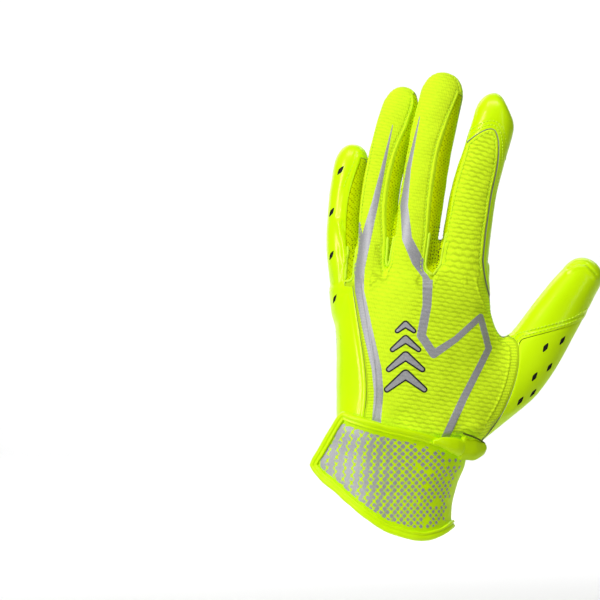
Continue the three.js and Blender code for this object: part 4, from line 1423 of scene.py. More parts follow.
def binding_path(step):
    """The line of the bound edge: the strap's top edge, round its free end, and back along the hem."""
    turn, out, top, bottom = band_edges(step)
    first = np.argmax(turn < BINDING_START)
    ends = []
    for pick, z, sign in ((slice(first, -1), top, 1.0), (slice(int(HEM_START / step), -1), bottom, -1.0)):
        rows = np.stack([turn[pick], out[pick], z[pick], np.full(len(z[pick]), sign)], 1)
        ends.append(rows if sign > 0 else rows[::-1])
    tip = np.array([[turn[-1], out[-1], (top[-1] + bottom[-1]) / 2, 0.0]])
    rows = np.concatenate([ends[0], tip, ends[1]])
    points, _, normal = band_point(rows[:, 0], rows[:, 1], rows[:, 2], np.zeros(len(rows)))
    return points, normal, rows


def binding_patch():
    """The rolled edge, thicker where it starts, with a ridge beside its stitching."""
    points, normal, rows = binding_path(1.6)
    total = lengths(points)
    at = np.linspace(0, total[-1], int(total[-1] / 1.1))
    points = along_line(points, total, at)
    normal = unit(along_line(normal, total, at))
    sign = np.interp(at, total, rows[:, 3])
    along = unit(np.gradient(points, axis=0))
    outward = unit(np.cross(along, normal))
    flip = np.sign(outward[:, 2] * np.where(np.abs(sign) > 0.05, sign, 0.0))
    known = np.where(flip == 0, 1.0, flip)
    outward = outward * known[:, None]
    lip, beyond, half = BINDING_WIDTH * 0.66, BINDING_WIDTH * 0.34, BINDING_DEPTH / 2
    shape = np.array(
        [
            (-lip, 0.3), (-lip, 0.72), (-lip * 0.88, 0.92), (-lip * 0.68, 0.94), (-lip * 0.5, 0.7),
            (-lip * 0.34, 0.9), (-lip * 0.05, 1.04), (beyond * 0.6, 0.84), (beyond, 0.36),
            (beyond, -0.36), (beyond * 0.6, -0.8), (0.0, -1.0), (-lip * 0.3, -0.84),
            (-lip * 0.62, -0.84), (-lip * 0.86, -0.8), (-lip, -0.62), (-lip, -0.3),
        ]
    )
    shape[:, 1] *= half
    rng = np.random.default_rng(5)
    uneven = 1 + 0.03 * np.sin(at * 0.21 + 1.0) + 0.02 * np.sin(at * 0.57)
    uneven = uneven + 0.012 * rng.normal(size=len(at))
    section = shape[None] * uneven[:, None, None]
    fade = np.minimum(1, np.sqrt(np.maximum(1 - (1 - np.clip(at / 2.0, 0, 1)) ** 2, 0.02)))
    knob = 1 + 0.42 * np.exp(-(((at - 2.8) / 2.4) ** 2))
    return sweep(points, outward, normal, section * (fade * knob)[:, None, None])


def kept(lines, test):
    """The stretches of lines whose points pass a test."""
    parts = []
    for line in lines:
        good = test(Places(line))
        start = None
        for k in range(len(line) + 1):
            if k < len(line) and good[k]:
                start = k if start is None else start
            elif start is not None:
                if k - start > 4:
                    parts.append(line[start:k])
                start = None
    return parts


def evened(line, step):
    """A line with points at even spacing, smoothed a little."""
    total = lengths(line)
    at = np.linspace(0, total[-1], max(int(total[-1] / step), 4))
    line = along_line(line, total, at)
    for _ in range(3):
        line[1:-1] = line[1:-1] * 0.5 + (line[:-2] + line[2:]) * 0.25
    return line


def piping(lines, radius, lift, around=8):
    """A round roll of cloth along lines on the surface."""
    rolls = []
    for line in lines:
        line = evened(line, radius * 0.9)
        normal = unit(gradient(line, glove_distance)[1])
        along = unit(np.gradient(line, axis=0))
        outward = unit(np.cross(along, normal))
        turn = np.arange(around) * 2 * math.pi / around
        circle = np.stack([np.cos(turn), np.sin(turn)], 1)
        end = np.minimum(np.arange(len(line)), np.arange(len(line))[::-1]) * 0.5
        thick = radius * np.sqrt(1 - (1 - np.clip(end, 0.05, 1)) ** 2)
        section = circle[None] * thick[:, None, None]
        rolls.append(sweep(line + normal * lift, outward, normal, section))
    return joined(rolls)


def yarn_material(name, colour, rough, grain_mm, scale):
    """Thread or cord of the glove's own dye, with a little painted glow from emission."""
    return plain_material(name, colour, rough, grain_mm, scale, painted_glow=0.06, sheen=0.1)


class GLOVE_OT_knit(bpy.types.Operator):
    """Knit back with its silver stripes and chevrons"""

    bl_idname = "glove.knit"
    bl_label = "Knit back"

    def execute(self, context):
        look = context.scene.glove_look
        knit = knit_material(tuple(look.knit_colour))
        silver = silver_material(tuple(look.silver_colour))
        black = plain_material("black_print", (0.012, 0.012, 0.013), 0.4)
        patch = panels()["knit"]
        places = Places(patch.points)
        edge = places.knit_edge()
        height, tone = knit_relief(places, edge)
        film = np.full(len(edge), -1e9)
        for line in STRIPES:
            film = np.maximum(film, stroke(places.x, places.z, line))
        film = np.minimum(film, edge - 0.9)
        mark = chevron_side(places.x, places.z, CHEVRON_RIM)
        cover = smoothstep(-0.1, 0.35, np.maximum(film, mark))
        height = height * (1 - 0.6 * cover) + 0.16 * cover
        # The tone, painted shade and light of the knit's relief, goes to the material
        patch.data["relief"] = tone
        patch.data["film"] = film
        patch.data["mark"] = mark
        patch.data["middle"] = chevron_side(places.x, places.z, 0.0)
        pushed(patch, height)
        add_piece("back_knit_edge", patch.skirt(1.0), knit, "knit", "back_panel")
        stripes, cloth = patch.cut(patch.data["film"])
        outline, cloth = cloth.cut(cloth.data["mark"])
        middle, outline = outline.cut(outline.data["middle"])
        add_piece("back_knit", cloth, knit, "knit", "back_panel")
        add_piece("back_stripes", stripes, silver, "knit", "back_panel")
        add_piece("back_chevrons", middle, silver, "knit", "back_panel")
        add_piece("back_chevron_outlines", outline, black, "knit", "back_panel")
        return {"FINISHED"}


# Folds in the leather beside the strap's root and over the thumb: height, width and a line of (x, z)
FOLDS = [
    (1.3, 2.0, [(38, 50), (45, 53.5), (52, 50)]),
    (-0.7, 1.2, [(39, 46.5), (46, 49.5), (52, 46)]),
    (0.5, 2.2, [(44, 44), (50, 60), (58, 74)]),
    (-0.35, 1.6, [(48, 44), (54, 58), (63, 71)]),
    (-1.0, 0.6, [(96, 146), (100.5, 149), (105, 148.5), (110.5, 143)]),
    (0.6, 1.0, [(95, 144.0), (100.5, 147), (105, 146.3), (110, 140.5)]),
    (0.9, 1.8, [(-28.5, 171), (-26.3, 161), (-24.5, 150)]),
    (-0.5, 1.2, [(-26.5, 171), (-24.0, 160), (-22.3, 149)]),
]


def folds(places):
    """Height of the leather's folds."""
    height = np.zeros(len(places.x))
    for tall, wide, line in FOLDS:
        far = -stroke(places.x, places.z, [(x, z, 0.0) for x, z in line])
        height += tall * np.exp(-((far / wide) ** 2))
    return height * smoothstep(4.0, -2.0, places.y - places.middle)


def vent_side(patch):
    """More than 0 in the small diamond vents of the thumb and the outer edge of the hand."""
    best = np.full(len(patch.points), -1e9)
    points = patch.points
    front = points[:, 1] < hand_middle(points[:, 0], points[:, 2]) + 2
    for across, up in zip(VENTS["across"], VENTS["up"]):
        spot = np.array([across * PALM_WIDTH, 0, CUFF_HEIGHT + up * PALM_LENGTH])
        far = np.hypot(points[:, 0] - spot[0], points[:, 2] - spot[2]) + np.where(front, 0, 99)
        nearest = far.argmin()
        if far[nearest] > 2.0:
            continue
        normal = patch.data["normal"][nearest]
        wide = unit(np.cross([0.0, 0.0, 1.0], normal))
        tall = np.cross(normal, wide)
        off = points - points[nearest]
        p, q = off @ wide, off @ tall
        a = p * math.cos(VENT_LEAN) - q * math.sin(VENT_LEAN)
        b = q * math.cos(VENT_LEAN) + p * math.sin(VENT_LEAN)
        side = (np.abs(a) / (VENT_WIDTH / 2)) ** 1.25 + (np.abs(b) / (VENT_LENGTH / 2)) ** 1.25
        side = VENT_WIDTH / 2 * (1 - side)
        best = np.maximum(best, np.where((off * off).sum(1) < 16, side, -9.0))
    return best


# Silver outlines on the palm, as lines of (x, z, half width) in the front view
PALM_LINES = [
    [(-2, 214, 0.2), (-7, 190, 0.9), (-12, 164, 1.9), (-11, 144, 2.0), (-20, 122, 2.0), (-15, 100, 2.0),
     (-26, 84, 2.0)],
    [(16, 228, 0.2), (11, 196, 1.2), (14, 164, 2.0), (20, 142, 2.0), (13, 116, 2.0), (20, 92, 2.0),
     (44, 104, 2.0), (62, 112, 2.0)],
    [(-24, 66, 2.0), (-4, 76, 2.0), (4, 54, 2.0)],
]
LINE_WIDTH = 0.95
NOTCH = 1.7
# How far the leather stands over the form, and the thickness that its cut edge shows
LEATHER_PROUD = 0.45
LEATHER_EDGE = 0.9


def palm_line_side(places):
    """More than 0 in the thin silver outlines on the palm."""
    shape = np.full(len(places.x), -1e9)
    for line in PALM_LINES:
        shape = np.maximum(shape, stroke(places.x, places.z, line))
    side = LINE_WIDTH / 2 - np.abs(shape)
    return np.where(places.y > places.middle, side, -9.0)


def notch_side(places):
    """More than 0 in the small round holes at the feet of the gussets, on the palm."""
    side = np.full(len(places.x), -9.0)
    for i in range(3):
        x = (ROOTS[i] + ROOTS[i + 1]) / 2
        z = CROTCH + (FINGERS["crotch"][i] + FINGERS["crotch"][i + 1]) * PALM_LENGTH / 2 - 6.5
        side = np.maximum(side, NOTCH - np.hypot(places.x - x, (places.z - z) / 1.5))
    return np.where(places.y > places.middle, side, -9.0)


def leather_height(places, to_knit, on_palm):
    """Height of the leather over the glove's form: pressed seams, soft unevenness and folds."""
    to_thumb = np.abs(places.thumb())
    edge = np.minimum(to_knit, to_thumb)
    for i in range(3):
        edge = np.minimum(edge, np.abs(np.minimum(places.gusset(i), 0)))
    soft = ripple(places.points, 34.0, 2) * 0.25 + ripple(places.points, 13.0, 4) * 0.06
    height = LEATHER_PROUD - 0.25 * np.exp(-edge / 0.35)
    if on_palm:
        height -= 0.22 * np.exp(-(((edge - 2.3) / 0.6) ** 2))
        height -= 0.2 * np.exp(-(((to_knit - 4.3) / 0.6) ** 2)) * smoothstep(150, 156, places.z)
        height += 0.5 * np.exp(-to_thumb / 4) * smoothstep(100, 108, places.z)
    return height + (soft * smoothstep(1.0, 8.0, edge) + folds(places))


class GLOVE_OT_leather(bpy.types.Operator):
    """Leather palm and thumb, with their cut edges and vents"""

    bl_idname = "glove.leather"
    bl_label = "Leather"

    def execute(self, context):
        look = context.scene.glove_look
        neon = tuple(look.leather_colour)
        glossy = leather_material("grip_leather", neon, look.leather_roughness, 0.25, 0.04)
        matte = leather_material("vented_leather", neon, look.leather_roughness + 0.16, 0.0, 0.05)
        raw = plain_material("raw_edge", tuple(look.edge_colour), 0.8, 0.05)
        # Black vent floors: painted shade inside the vents and notches
        black = plain_material("vent_painted_shade", (0.01, 0.01, 0.01), 0.7, 0.1)
        for name, slot, node, material in (
            ("palm", "grip_leather", "palm_panel", glossy),
            ("thumb", "vented_leather", "thumb_panel", matte),
        ):
            patch = panels()[name]
            for _ in range(2):
                patch = patch.finer(vent_side(patch) > -2)
            places = Places(patch.points)
            if name == "palm":
                patch = patch.finer(np.maximum(palm_line_side(places), notch_side(places)) > -0.8)
                places = Places(patch.points)
            to_knit = np.maximum(-places.knit(), 0)
            height = leather_height(places, to_knit, name == "palm")
            patch.data["vent"] = vent_side(patch)
            if name == "palm":
                patch.data["vent"] = np.maximum(patch.data["vent"], notch_side(places))
                patch.data["line"] = palm_line_side(places)
            index = places.fingers[3]
            patch.data["trim"] = np.minimum.reduce([0.3 - to_knit, index["near"], (places.z - 128) * 0.2])
            pushed(patch, height)
            skirt = patch.skirt(LEATHER_EDGE)
            vents, patch = patch.cut(patch.data["vent"])
            trim, patch = patch.cut(patch.data["trim"])
            if name == "palm":
                lines, patch = patch.cut(patch.data["line"])
                silver = silver_material(tuple(look.silver_colour))
                add_piece("palm_lines", lines, silver, slot, node)
            add_piece(name + "_leather", patch, material, slot, node)
            add_piece(name + "_raw_edge", joined([skirt, trim]), raw, slot, node)
            vents = joined([raised(vents, -VENT_DEPTH), patch_wall(vents, VENT_DEPTH)])
            add_piece(name + "_vents", vents, black, slot, node)
        return {"FINISHED"}


# The rows of air holes, as distances from the gusset's middle
HOLE_ROWS = (-3.4, -1.7, 0.0, 1.7, 3.4)


class GLOVE_OT_gussets(bpy.types.Operator):
    """Mesh gussets between the fingers, with piping at their feet and their air holes"""

    bl_idname = "glove.gussets"
    bl_label = "Gussets"

    def execute(self, context):
        look = context.scene.glove_look
        mesh = mesh_material(tuple(look.mesh_colour_and_shade))
        roll = yarn_material("gusset_piping", tuple(look.knit_colour), 0.6, 0.15, 1800.0)
        # Near-black capsules sunk into the mesh paint the shade inside its air holes
        hole_shade = plain_material("air_hole_painted_shade", (0.02, 0.03, 0.0), 0.8, 0.05)
        nodes = ("gusset_little_ring", "gusset_ring_middle", "gusset_middle_index")
        for i, (node, patch) in enumerate(zip(nodes, panels()["gussets"])):
            places = Places(patch.points)
            root = CROTCH + (FINGERS["crotch"][i] + FINGERS["crotch"][i + 1]) * PALM_LENGTH / 2
            inside = places.gusset(i)
            one, two = places.fingers[i], places.fingers[i + 1]
            rows = np.where(np.abs(one["near"]) > np.abs(two["near"]), one["back"], two["back"])
            dots = []
            for level in HOLE_ROWS:
                found = patch.contours(rows - level)
                dots += kept(found, lambda at: (at.z < root + 20) & (at.gusset(i) > 1.0))
            far = np.maximum(inside, 0)
            line = patch.contours(inside - 0.35)
            pushed(patch, -0.3 * np.exp(-far / 0.6) + 0.1 * ripple(patch.points, 9.0, 7))
            add_piece(node + "_mesh", joined([patch, patch.skirt(0.8)]), mesh, "mesh", node)
            line = kept(line, lambda at: (at.z < root + 16) & (at.fingers[i]["v"] < 2))
            if line:
                add_piece(node + "_piping", piping(line, 0.75, 0.1), roll, "mesh", node)
            if dots:
                holes = stitches(dots, pitch=2.1, length=0.75, radius=0.36, lift=-0.18)
                add_piece(node + "_holes", holes, hole_shade, "mesh", node)
        return {"FINISHED"}


def on_arch(at):
    """Whether places lie on the index finger's back, past the feet of the knit's arch."""
    place = at.fingers[3]
    return (place["share"] > 0.22) & (place["v"] < 1) & (place["near"] > 1)


def on_thumb_seam(at):
    """Whether places lie beside the seam across the thumb."""
    return (at.x > 60) & (at.z > 105) & (at.y < 9)


class GLOVE_OT_seams(bpy.types.Operator):
    """Rows of stitches beside the seams, and a dark cord that paints the shadow in the thumb's seam"""

    bl_idname = "glove.seams"
    bl_label = "Stitching"

    def execute(self, context):
        colour = tuple(context.scene.glove_look.knit_colour)
        yarn = yarn_material("thread", shade(colour, 1.05), 0.55, 0.1, 2200.0)
        palm, knit = panels()["palm"], panels()["knit"]
        places = Places(palm.points)
        arch = places.arch()
        thumb = places.thumb()
        rows = []
        for far in (2.2, 4.3):
            rows += kept(palm.contours(arch + far), on_arch)
        sewn = stitches(rows, pitch=1.75, length=1.25, radius=0.3, lift=0.36)
        add_piece("arch_stitches", sewn, yarn, "grip_leather", "palm_panel")
        rows = []
        for far in (1.4, 3.3):
            rows += kept(palm.contours(thumb + far), on_thumb_seam)
        sewn = stitches(rows, pitch=1.9, length=1.35, radius=0.34, lift=0.85)
        add_piece("thumb_stitches", sewn, yarn, "grip_leather", "palm_panel")
        # A dark cord along the thumb's seam paints the shadow in the gap between the layers
        rows = kept(palm.contours(thumb + 0.25), on_thumb_seam)
        shadow = plain_material("seam_painted_shadow", shade(colour, 0.12), 0.9)
        add_piece("thumb_seam_painted_shadow", piping(rows, 0.42, 0.3), shadow, "grip_leather", "palm_panel")
        edge = np.full(len(palm.points), 1e9)
        for i in range(3):
            edge = np.minimum(edge, -places.gusset(i))
        rows = kept(palm.contours(edge - 2.3), lambda at: (at.z > CROTCH - 8) & (at.y > at.middle))
        sewn = stitches(rows, pitch=2.3, length=1.6, radius=0.24, lift=0.3)
        add_piece("palm_stitches", sewn, yarn, "grip_leather", "palm_panel")
        edge = Places(knit.points).knit_edge()
        rows = kept(knit.contours(edge - ROLL_WIDTH), lambda at: at.z > CROTCH - 6)
        sewn = stitches(rows, pitch=2.1, length=1.2, radius=0.26, lift=0.12)
        add_piece("knit_stitches", sewn, yarn, "knit", "back_panel")
        return {"FINISHED"}


class GLOVE_OT_lining(bpy.types.Operator):
    """Inner face of the glove, seen through the wrist opening"""

    bl_idname = "glove.lining"
    bl_label = "Lining"

    def execute(self, context):
        look = context.scene.glove_look
        colour = shade(tuple(look.knit_colour), 0.8)
        # The lining has a little painted glow from emission
        cloth = plain_material("lining", colour, 0.9, 0.15, 1100.0, painted_glow=0.03, sheen=0.15)

        def inner(points):
            return glove_distance(points) + WALL

        patch = net(inner, (*SPACE_LOW[:2], LINING_LOW), SPACE_HIGH, LINING_STEP)
        patch.faces = patch.faces[:, ::-1]
        add_piece("lining", patch, cloth, "knit", "palm_panel")
        return {"FINISHED"}


# The gathered leather's way, from the strap's root towards the thumb
TUCK = [(35.5, -15.5, 50.2), (41.0, -13.5, 49.0), (46.0, -10.0, 48.9), (50.6, -5.5, 50.0)]
TUCK_FACE = np.array([0.35, -1.0, 0.0])
TUCK_WIDE = 6.2
TUCK_THICK = 2.8
# A dark cord that paints the shadow in the gap between the back's hem and the gathered leather
HEM_SHADOW_LINE = [(38.0, -20.0, 56.8), (43.2, -16.0, 55.0), (47.5, -12.0, 53.0), (50.6, -7.0, 50.8)]
# The curl at the end of the strap's upper edge: x, z and radius
KNOB = table(
    "x z radius",
    (21.5, 53.0, 1.0),
    (25.5, 53.2, 2.6),
    (29.5, 52.2, 3.7),
    (33, 50.9, 4.5),
    (36, 49.6, 4.7),
    (39, 48.4, 3.9),
)
KNOB_LIFT = 3.8


def on_band(x, z, lift):
    """Points over the band's face at places of the front view, and the directions out there."""
    turns = np.linspace(-100, -5, 96)
    face, _, normal = band_point(turns, np.zeros(96), np.full(96, 50.0), np.full(96, lift))
    y = np.interp(x, face[:, 0], face[:, 1])
    return np.stack([x, y, z], 1), unit(along_line(normal, face[:, 0], x))


def gathered_roll():
    """A wrinkled roll of leather that narrows towards the thumb."""
    line = evened(np.array(TUCK), 0.9)
    share = np.linspace(0, 1, len(line))
    along = unit(np.gradient(line, axis=0))
    normal = unit(TUCK_FACE - along * (along @ TUCK_FACE)[:, None])
    turn = np.arange(20) * math.pi / 10
    wrinkle = 1 + 0.09 * np.cos(5 * turn + 0.6)[None] + 0.05 * np.sin(share * 15)[:, None]
    thick = np.clip(share / 0.06, 0.3, 1) * np.sqrt(1 - 0.97 * share**2.2)
    circle = np.stack([TUCK_WIDE * np.cos(turn), TUCK_THICK * np.sin(turn)], 1)
    section = circle[None] * (wrinkle * thick[:, None])[:, :, None]
    return sweep(line, np.cross(along, normal), normal, section)


def curled_end():
    """The round end of the strap's upper edge, with a crease along it."""
    spots, out = on_band(KNOB["x"], KNOB["z"], KNOB_LIFT)
    middle = evened(spots, 0.8)
    share = np.linspace(0, 1, len(middle))
    along = unit(np.gradient(middle, axis=0))
    facing = along_line(out, spots[:, 0], middle[:, 0])
    facing = unit(facing - along * (facing * along).sum(1)[:, None])
    radius = np.interp(share, np.linspace(0, 1, len(KNOB["x"])), KNOB["radius"])
    radius *= np.sqrt(np.clip(1 - np.clip((share - 0.7) / 0.3, 0, 1) ** 3, 0.05, 1))
    turn = np.arange(18) * math.pi / 9
    crease = 1 - 0.12 * np.exp(-(((turn - math.pi / 2) / 0.3) ** 2))
    circle = np.stack([np.cos(turn), 0.8 * np.sin(turn)], 1) * crease[:, None]
    return sweep(middle, np.cross(along, facing), facing, circle[None] * radius[:, None, None])


class GLOVE_OT_tuck(bpy.types.Operator):
    """Leather gathered beside the strap's root, darkened as painted shade, a dark cord painting the shadow
    under the back's hem, and the strap's curled end
    """

    bl_idname = "glove.tuck"
    bl_label = "Gathered leather"

    def execute(self, context):
        look = context.scene.glove_look
        neon = tuple(look.leather_colour)
        # The gathered leather is a darker copy of the leather: painted shade
        leather = leather_material("tucked_leather_painted_shade", shade(neon, 0.85), 0.45, 0.0, 0.12)
        add_piece("gathered_leather", gathered_roll(), leather, "grip_leather", "palm_panel")
        # A dark cord paints the shadow under the back's hem
        shadow = plain_material("hem_painted_shadow", shade(tuple(look.knit_colour), 0.16), 0.9)
        hem_shadow_cord = piping([settle(np.array(HEM_SHADOW_LINE), glove_distance)[0]], 0.5, 0.5)
        add_piece("hem_painted_shadow", hem_shadow_cord, shadow, "grip_leather", "palm_panel")
        bound = leather_material("knob_leather", neon, 0.34, 0.1, 0.05)
        add_piece("strap_knob", curled_end(), bound, "binding", "edge_binding")
        return {"FINISHED"}


def strap_puff(t, o, z, low, high):
    """How far the strap's face swells, and its soft unevenness."""
    edge = np.minimum(z - low, high - z)
    spots = np.stack([t * 0.5, o, z], 1)
    return 0.25 * smoothstep(2.5, 9.0, edge) * (1 + 0.6 * ripple(spots, 16.0, 9))


# The strap's print: diamonds on a lattice, large and joined at the free end and small towards the thumb
DIAMOND_PITCH = 3.9
PRINT_LENGTH = 92.0
PRINT_EDGE = 5.2
PRINT_END = -22.0
PRINT_LIFT = 0.05


def print_size(p, q, s, z):
    """Half the size of the diamonds, in pitches: smaller, and some left out, towards the thumb."""
    fade = np.clip((s - PRINT_EDGE) / PRINT_LENGTH, 0, 1)
    wave = np.sin(s * 1.1 + 1.2 * np.sin(z * 0.15 + 0.4) - z * 0.3)
    size = 0.49 - 0.22 * fade**0.8 + 0.15 * wave * (1 - fade) ** 1.5
    gone = (np.sin(np.round(p) * 12.9898 + np.round(q) * 78.233) * 437.585) % 1
    return np.where(gone < (fade - 0.6) * 1.2, 0, size)


def strap_print():
    """The silver print, cut from a sheet just over the strap's face."""
    turn, out, top, bottom = band_edges(0.5)
    keep = turn < PRINT_END
    turn, out, top, bottom = (row[keep][::-1] for row in (turn, out, top, bottom))
    middle, _, _ = band_point(turn, out, (top + bottom) / 2, np.zeros(len(turn)))
    along = lengths(middle)
    rows = 110
    share = np.linspace(0, 1, rows)
    z = bottom[:, None] + (top - bottom)[:, None] * share[None]
    t, o, s = (np.repeat(row, rows) for row in (turn, out, along))
    low, high = np.repeat(bottom, rows), np.repeat(top, rows)
    z = z.ravel()
    lift = BAND_THICKNESS / 2 + strap_puff(t, o, z, low, high) + PRINT_LIFT
    points, _, normal = band_point(t, o, z, lift)
    faces = grid_faces(len(turn), rows, False)
    one, two, three = points[faces[0]]
    if np.dot(np.cross(two - one, three - one), normal[faces[0, 0]]) < 0:
        faces = faces[:, ::-1]
    p, q = (s + z) / DIAMOND_PITCH, (s - z) / DIAMOND_PITCH
    spot = np.maximum(np.abs(p - np.round(p)), np.abs(q - np.round(q)))
    size = print_size(p, q, s, z)
    window = np.minimum.reduce([s - PRINT_EDGE, high - z - PRINT_EDGE, z - low - PRINT_EDGE])
    side = np.minimum((size - spot) * DIAMOND_PITCH, window)
    side = np.minimum(side, (size - 0.1) * 3)
    return Patch(points, faces, {"normal": normal}).cut(side)[0]


# The closing patch: where it starts round the wrist, and its edges as shares of the cuff's height
CLOSURE_TURN = -100.0
CLOSURE_TOP = 0.9
CLOSURE_BOTTOM = 0.78


class GLOVE_OT_band(bpy.types.Operator):
    """Wrist band with its strap and print, the bound edges and the patch that closes them"""

    bl_idname = "glove.band"
    bl_label = "Band and strap"

    def execute(self, context):
        look = context.scene.glove_look
        neon = tuple(look.leather_colour)
        band = leather_material("band_foam", shade(neon, 0.92), 0.5, 0.0, 0.04)
        bound = leather_material("binding", neon, 0.38, 0.1, 0.05)
        silver = silver_material(tuple(look.silver_colour))
        turn, out, top, bottom = band_edges(1.6)
        sheet = band_patch(turn, out, top, bottom, BAND_THICKNESS, 30, puff=strap_puff)
        add_piece("strap_and_band", sheet, band, "band_foam", "wrist_band")
        add_piece("strap_print", strap_print(), silver, "band_foam", "wrist_band")
        add_piece("rolled_binding", binding_patch(), bound, "binding", "edge_binding")
        keep = (turn < CLOSURE_TURN) & (out == 0)
        pile = plain_material("hook_and_loop", tuple(look.knit_colour), 0.9, 0.3, 900.0, sheen=0.4)
        patch = band_patch(
            turn[keep],
            out[keep],
            np.full(keep.sum(), CUFF_HEIGHT * CLOSURE_TOP),
            np.full(keep.sum(), CUFF_HEIGHT * CLOSURE_BOTTOM),
            PATCH_THICKNESS,
            8,
            -BAND_THICKNESS / 2 - GAP - PATCH_THICKNESS / 2,
        )
        add_piece("closure_pile", patch, pile, "hook_and_loop", "closure_patch")
        return {"FINISHED"}


# The studio's paper, in metres: its front edge, the start and radius of its cove, and its top
PAPER_FRONT = -0.12
COVE_START = 3.0
COVE_RADIUS = 0.6
COVE_STEPS = 24
PAPER_TOP = 2.6
# Lamps: name, place, width and height in metres, power in watts, and the place that they face
GLOVE_MIDDLE = (0.0, 0.0, 0.13)
LAMPS = (
    ("key", (-0.9, -0.95, 0.5), (0.3, 1.0), 12.5, GLOVE_MIDDLE),
    ("fill", (0.7, -1.1, 0.3), (0.2, 1.2), 1.6, GLOVE_MIDDLE),
    ("top", (-0.1, -0.5, 1.1), (0.8, 0.3), 5.5, GLOVE_MIDDLE),
    ("rim", (-0.5, 0.6, 0.5), (0.4, 0.9), 1.5, GLOVE_MIDDLE),
    ("backdrop", (0.0, 1.5, 1.6), (2.6, 1.6), 60.0, (0.0, 2.6, 0.0)),
)
# The picture: its width in pixels, the size of one in millimetres, and the pixel of the glove's origin
PICTURE_PIXELS = 600
PIXEL_SIZE = 0.54
ORIGIN_PIXEL = (392, 539)
SENSOR_WIDTH = 36.0


def direction(way):
    """Angles that point a lamp along a way."""
    way = way / np.linalg.norm(way)
    tilt = math.acos(max(-1.0, min(1.0, -way[2])))
    turn = math.atan2(way[1], way[0])
    return (tilt, 0.0, turn - math.pi / 2)


def studio_paper(stage):
    """A floor that curves up into a backdrop."""
    profile = [(PAPER_FRONT, stage.floor_height)]
    for k in range(COVE_STEPS + 1):
        turn = math.radians(90 * k / COVE_STEPS)
        rise = COVE_RADIUS * (1 - math.cos(turn))
        profile.append((COVE_START + COVE_RADIUS * math.sin(turn), stage.floor_height + rise))
    profile.append((COVE_START + COVE_RADIUS, PAPER_TOP))
    points = np.array([(x, y, z) for y, z in profile for x in (-stage.paper / 2, stage.paper / 2)]) / MM
    faces = []
    for k in range(len(profile) - 1):
        a = 2 * k
        faces += [(a, a + 1, a + 3), (a, a + 3, a + 2)]
    return Patch(points, np.array(faces), {})


class GLOVE_OT_stage(bpy.types.Operator):
    """Pale floor and backdrop, soft studio lights and the camera"""

    bl_idname = "glove.stage"
    bl_label = "Studio"

    def execute(self, context):
        stage = context.scene.glove_stage
        nodes = Nodes("studio_paper")
        set_shader(nodes, {"Base Color": (0.9, 0.9, 0.9, 1.0), "Roughness": 0.9})
        paper = surface_object("studio_paper", studio_paper(stage), nodes.material)

        world = context.scene.world or bpy.data.worlds.new("studio")
        context.scene.world = world
        world.use_nodes = True
        background = world.node_tree.nodes["Background"]
        background.inputs["Color"].default_value = (1.0, 1.0, 1.0, 1.0)
        background.inputs["Strength"].default_value = stage.sky
        context.scene.view_settings.view_transform = "Standard"
        for name, spot, size, power, aim in LAMPS:
            light = bpy.data.lights.new(name, "AREA")
            light.shape = "RECTANGLE"
            light.size, light.size_y = size
            light.energy = power * stage.light
            lamp = bpy.data.objects.new(name, light)
            lamp.location = spot
            lamp.rotation_euler = direction(np.array(aim) - np.array(spot))
            context.scene.collection.objects.link(lamp)

        camera = bpy.data.cameras.new("camera")
        camera.sensor_width = SENSOR_WIDTH
        camera.lens = stage.lens
        camera.clip_end = 20.0
        view = bpy.data.objects.new("camera", camera)
        middle = PICTURE_PIXELS / 2
        far = PICTURE_PIXELS * PIXEL_SIZE * MM * stage.lens / SENSOR_WIDTH
        view.location = (
            (middle - ORIGIN_PIXEL[0]) * PIXEL_SIZE * MM,
            -far,
            (ORIGIN_PIXEL[1] - middle) * PIXEL_SIZE * MM,
        )
        view.rotation_euler = (math.radians(90), 0.0, 0.0)
        context.scene.collection.objects.link(view)
        context.scene.camera = view
        return {"FINISHED"}


class GloveLook(bpy.types.PropertyGroup):
    """Colours and finish"""

    leather_colour: FloatVectorProperty(
        name="Leather",
        description="Colour of the glossy leather",
        subtype="COLOR",
        default=(0.66, 1.0, 0.0),
    )
    knit_colour: FloatVectorProperty(
        name="Knit",
        description="Colour of the knit back",
        subtype="COLOR",
        default=(0.68, 0.95, 0.02),
    )
    # The gussets' olive is darker than the knit: partly the mesh's own colour, partly painted shade between
    # the fingers
    mesh_colour_and_shade: FloatVectorProperty(
        name="Gussets",
        description="Colour of the mesh gussets",
        subtype="COLOR",
        default=(0.59, 0.76, 0.0),
    )
    silver_colour: FloatVectorProperty(
        name="Print",
        description="Colour of the silver print",
        subtype="COLOR",
        default=(0.43, 0.43, 0.445),
    )
    edge_colour: FloatVectorProperty(
        name="Raw edge",
        description="Colour of the leather's cut edge",
        subtype="COLOR",
        default=(0.34, 0.34, 0.3),
    )
    leather_roughness: FloatProperty(
        name="Roughness",
        description="Roughness of the leather",
        default=0.3,
        min=0.0,
        max=1.0,
        subtype="FACTOR",
    )


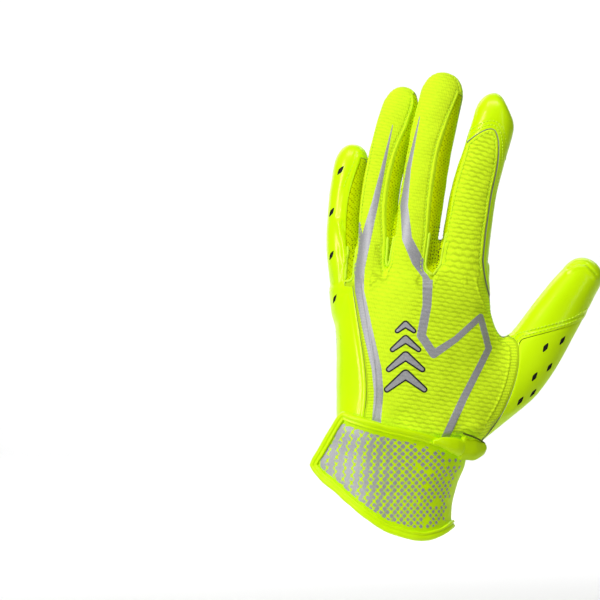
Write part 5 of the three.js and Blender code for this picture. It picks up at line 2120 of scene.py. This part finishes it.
class GloveStage(bpy.types.PropertyGroup):
    """Studio and camera"""

    floor_height: FloatProperty(
        name="Floor",
        description="Height of the floor",
        default=-0.05,
        unit="LENGTH",
        subtype="DISTANCE",
    )
    paper: FloatProperty(
        name="Paper",
        description="Width of the paper",
        default=5.0,
        min=0.5,
        unit="LENGTH",
    )
    lens: FloatProperty(
        name="Lens",
        description="Focal length",
        default=300.0,
        min=20.0,
        subtype="DISTANCE_CAMERA",
    )
    light: FloatProperty(
        name="Light",
        description="Strength of every lamp",
        default=1.0,
        min=0.0,
        soft_max=4.0,
    )
    sky: FloatProperty(
        name="Sky",
        description="Strength of the even light",
        default=0.1,
        min=0.0,
        soft_max=2.0,
    )


class GLOVE_PT_panel(bpy.types.Panel):
    """Lists the glove's colours and finish, the studio's settings, and a button for each step that builds
    it
    """

    bl_label = "Receiver glove"
    bl_idname = "GLOVE_PT_panel"
    bl_space_type = "VIEW_3D"
    bl_region_type = "UI"
    bl_category = "Glove"

    def draw(self, context):
        layout = self.layout
        for group in (context.scene.glove_look, context.scene.glove_stage):
            for name in group.bl_rna.properties.keys():
                if name not in ("rna_type", "name"):
                    layout.prop(group, name)
        for step in STEPS:
            layout.operator(step.bl_idname)


STEPS = (
    GLOVE_OT_stage,
    GLOVE_OT_seams,
    GLOVE_OT_knit,
    GLOVE_OT_leather,
    GLOVE_OT_gussets,
    GLOVE_OT_lining,
    GLOVE_OT_band,
    GLOVE_OT_tuck,
)
CLASSES = (GloveLook, GloveStage, GLOVE_PT_panel) + STEPS


def register():
    """Adds the classes and the scene's properties."""
    for made in CLASSES:
        bpy.utils.register_class(made)
    bpy.types.Scene.glove_look = PointerProperty(type=GloveLook)
    bpy.types.Scene.glove_stage = PointerProperty(type=GloveStage)


def unregister():
    """Takes them away again."""
    del bpy.types.Scene.glove_stage
    del bpy.types.Scene.glove_look
    for made in reversed(CLASSES):
        bpy.utils.unregister_class(made)


def main():
    """Builds the studio and every piece."""
    register()
    bpy.ops.glove.stage()
    bpy.ops.glove.seams()
    bpy.ops.glove.knit()
    bpy.ops.glove.leather()
    bpy.ops.glove.gussets()
    bpy.ops.glove.lining()
    bpy.ops.glove.band()
    bpy.ops.glove.tuck()


if __name__ == "__main__":
    main()
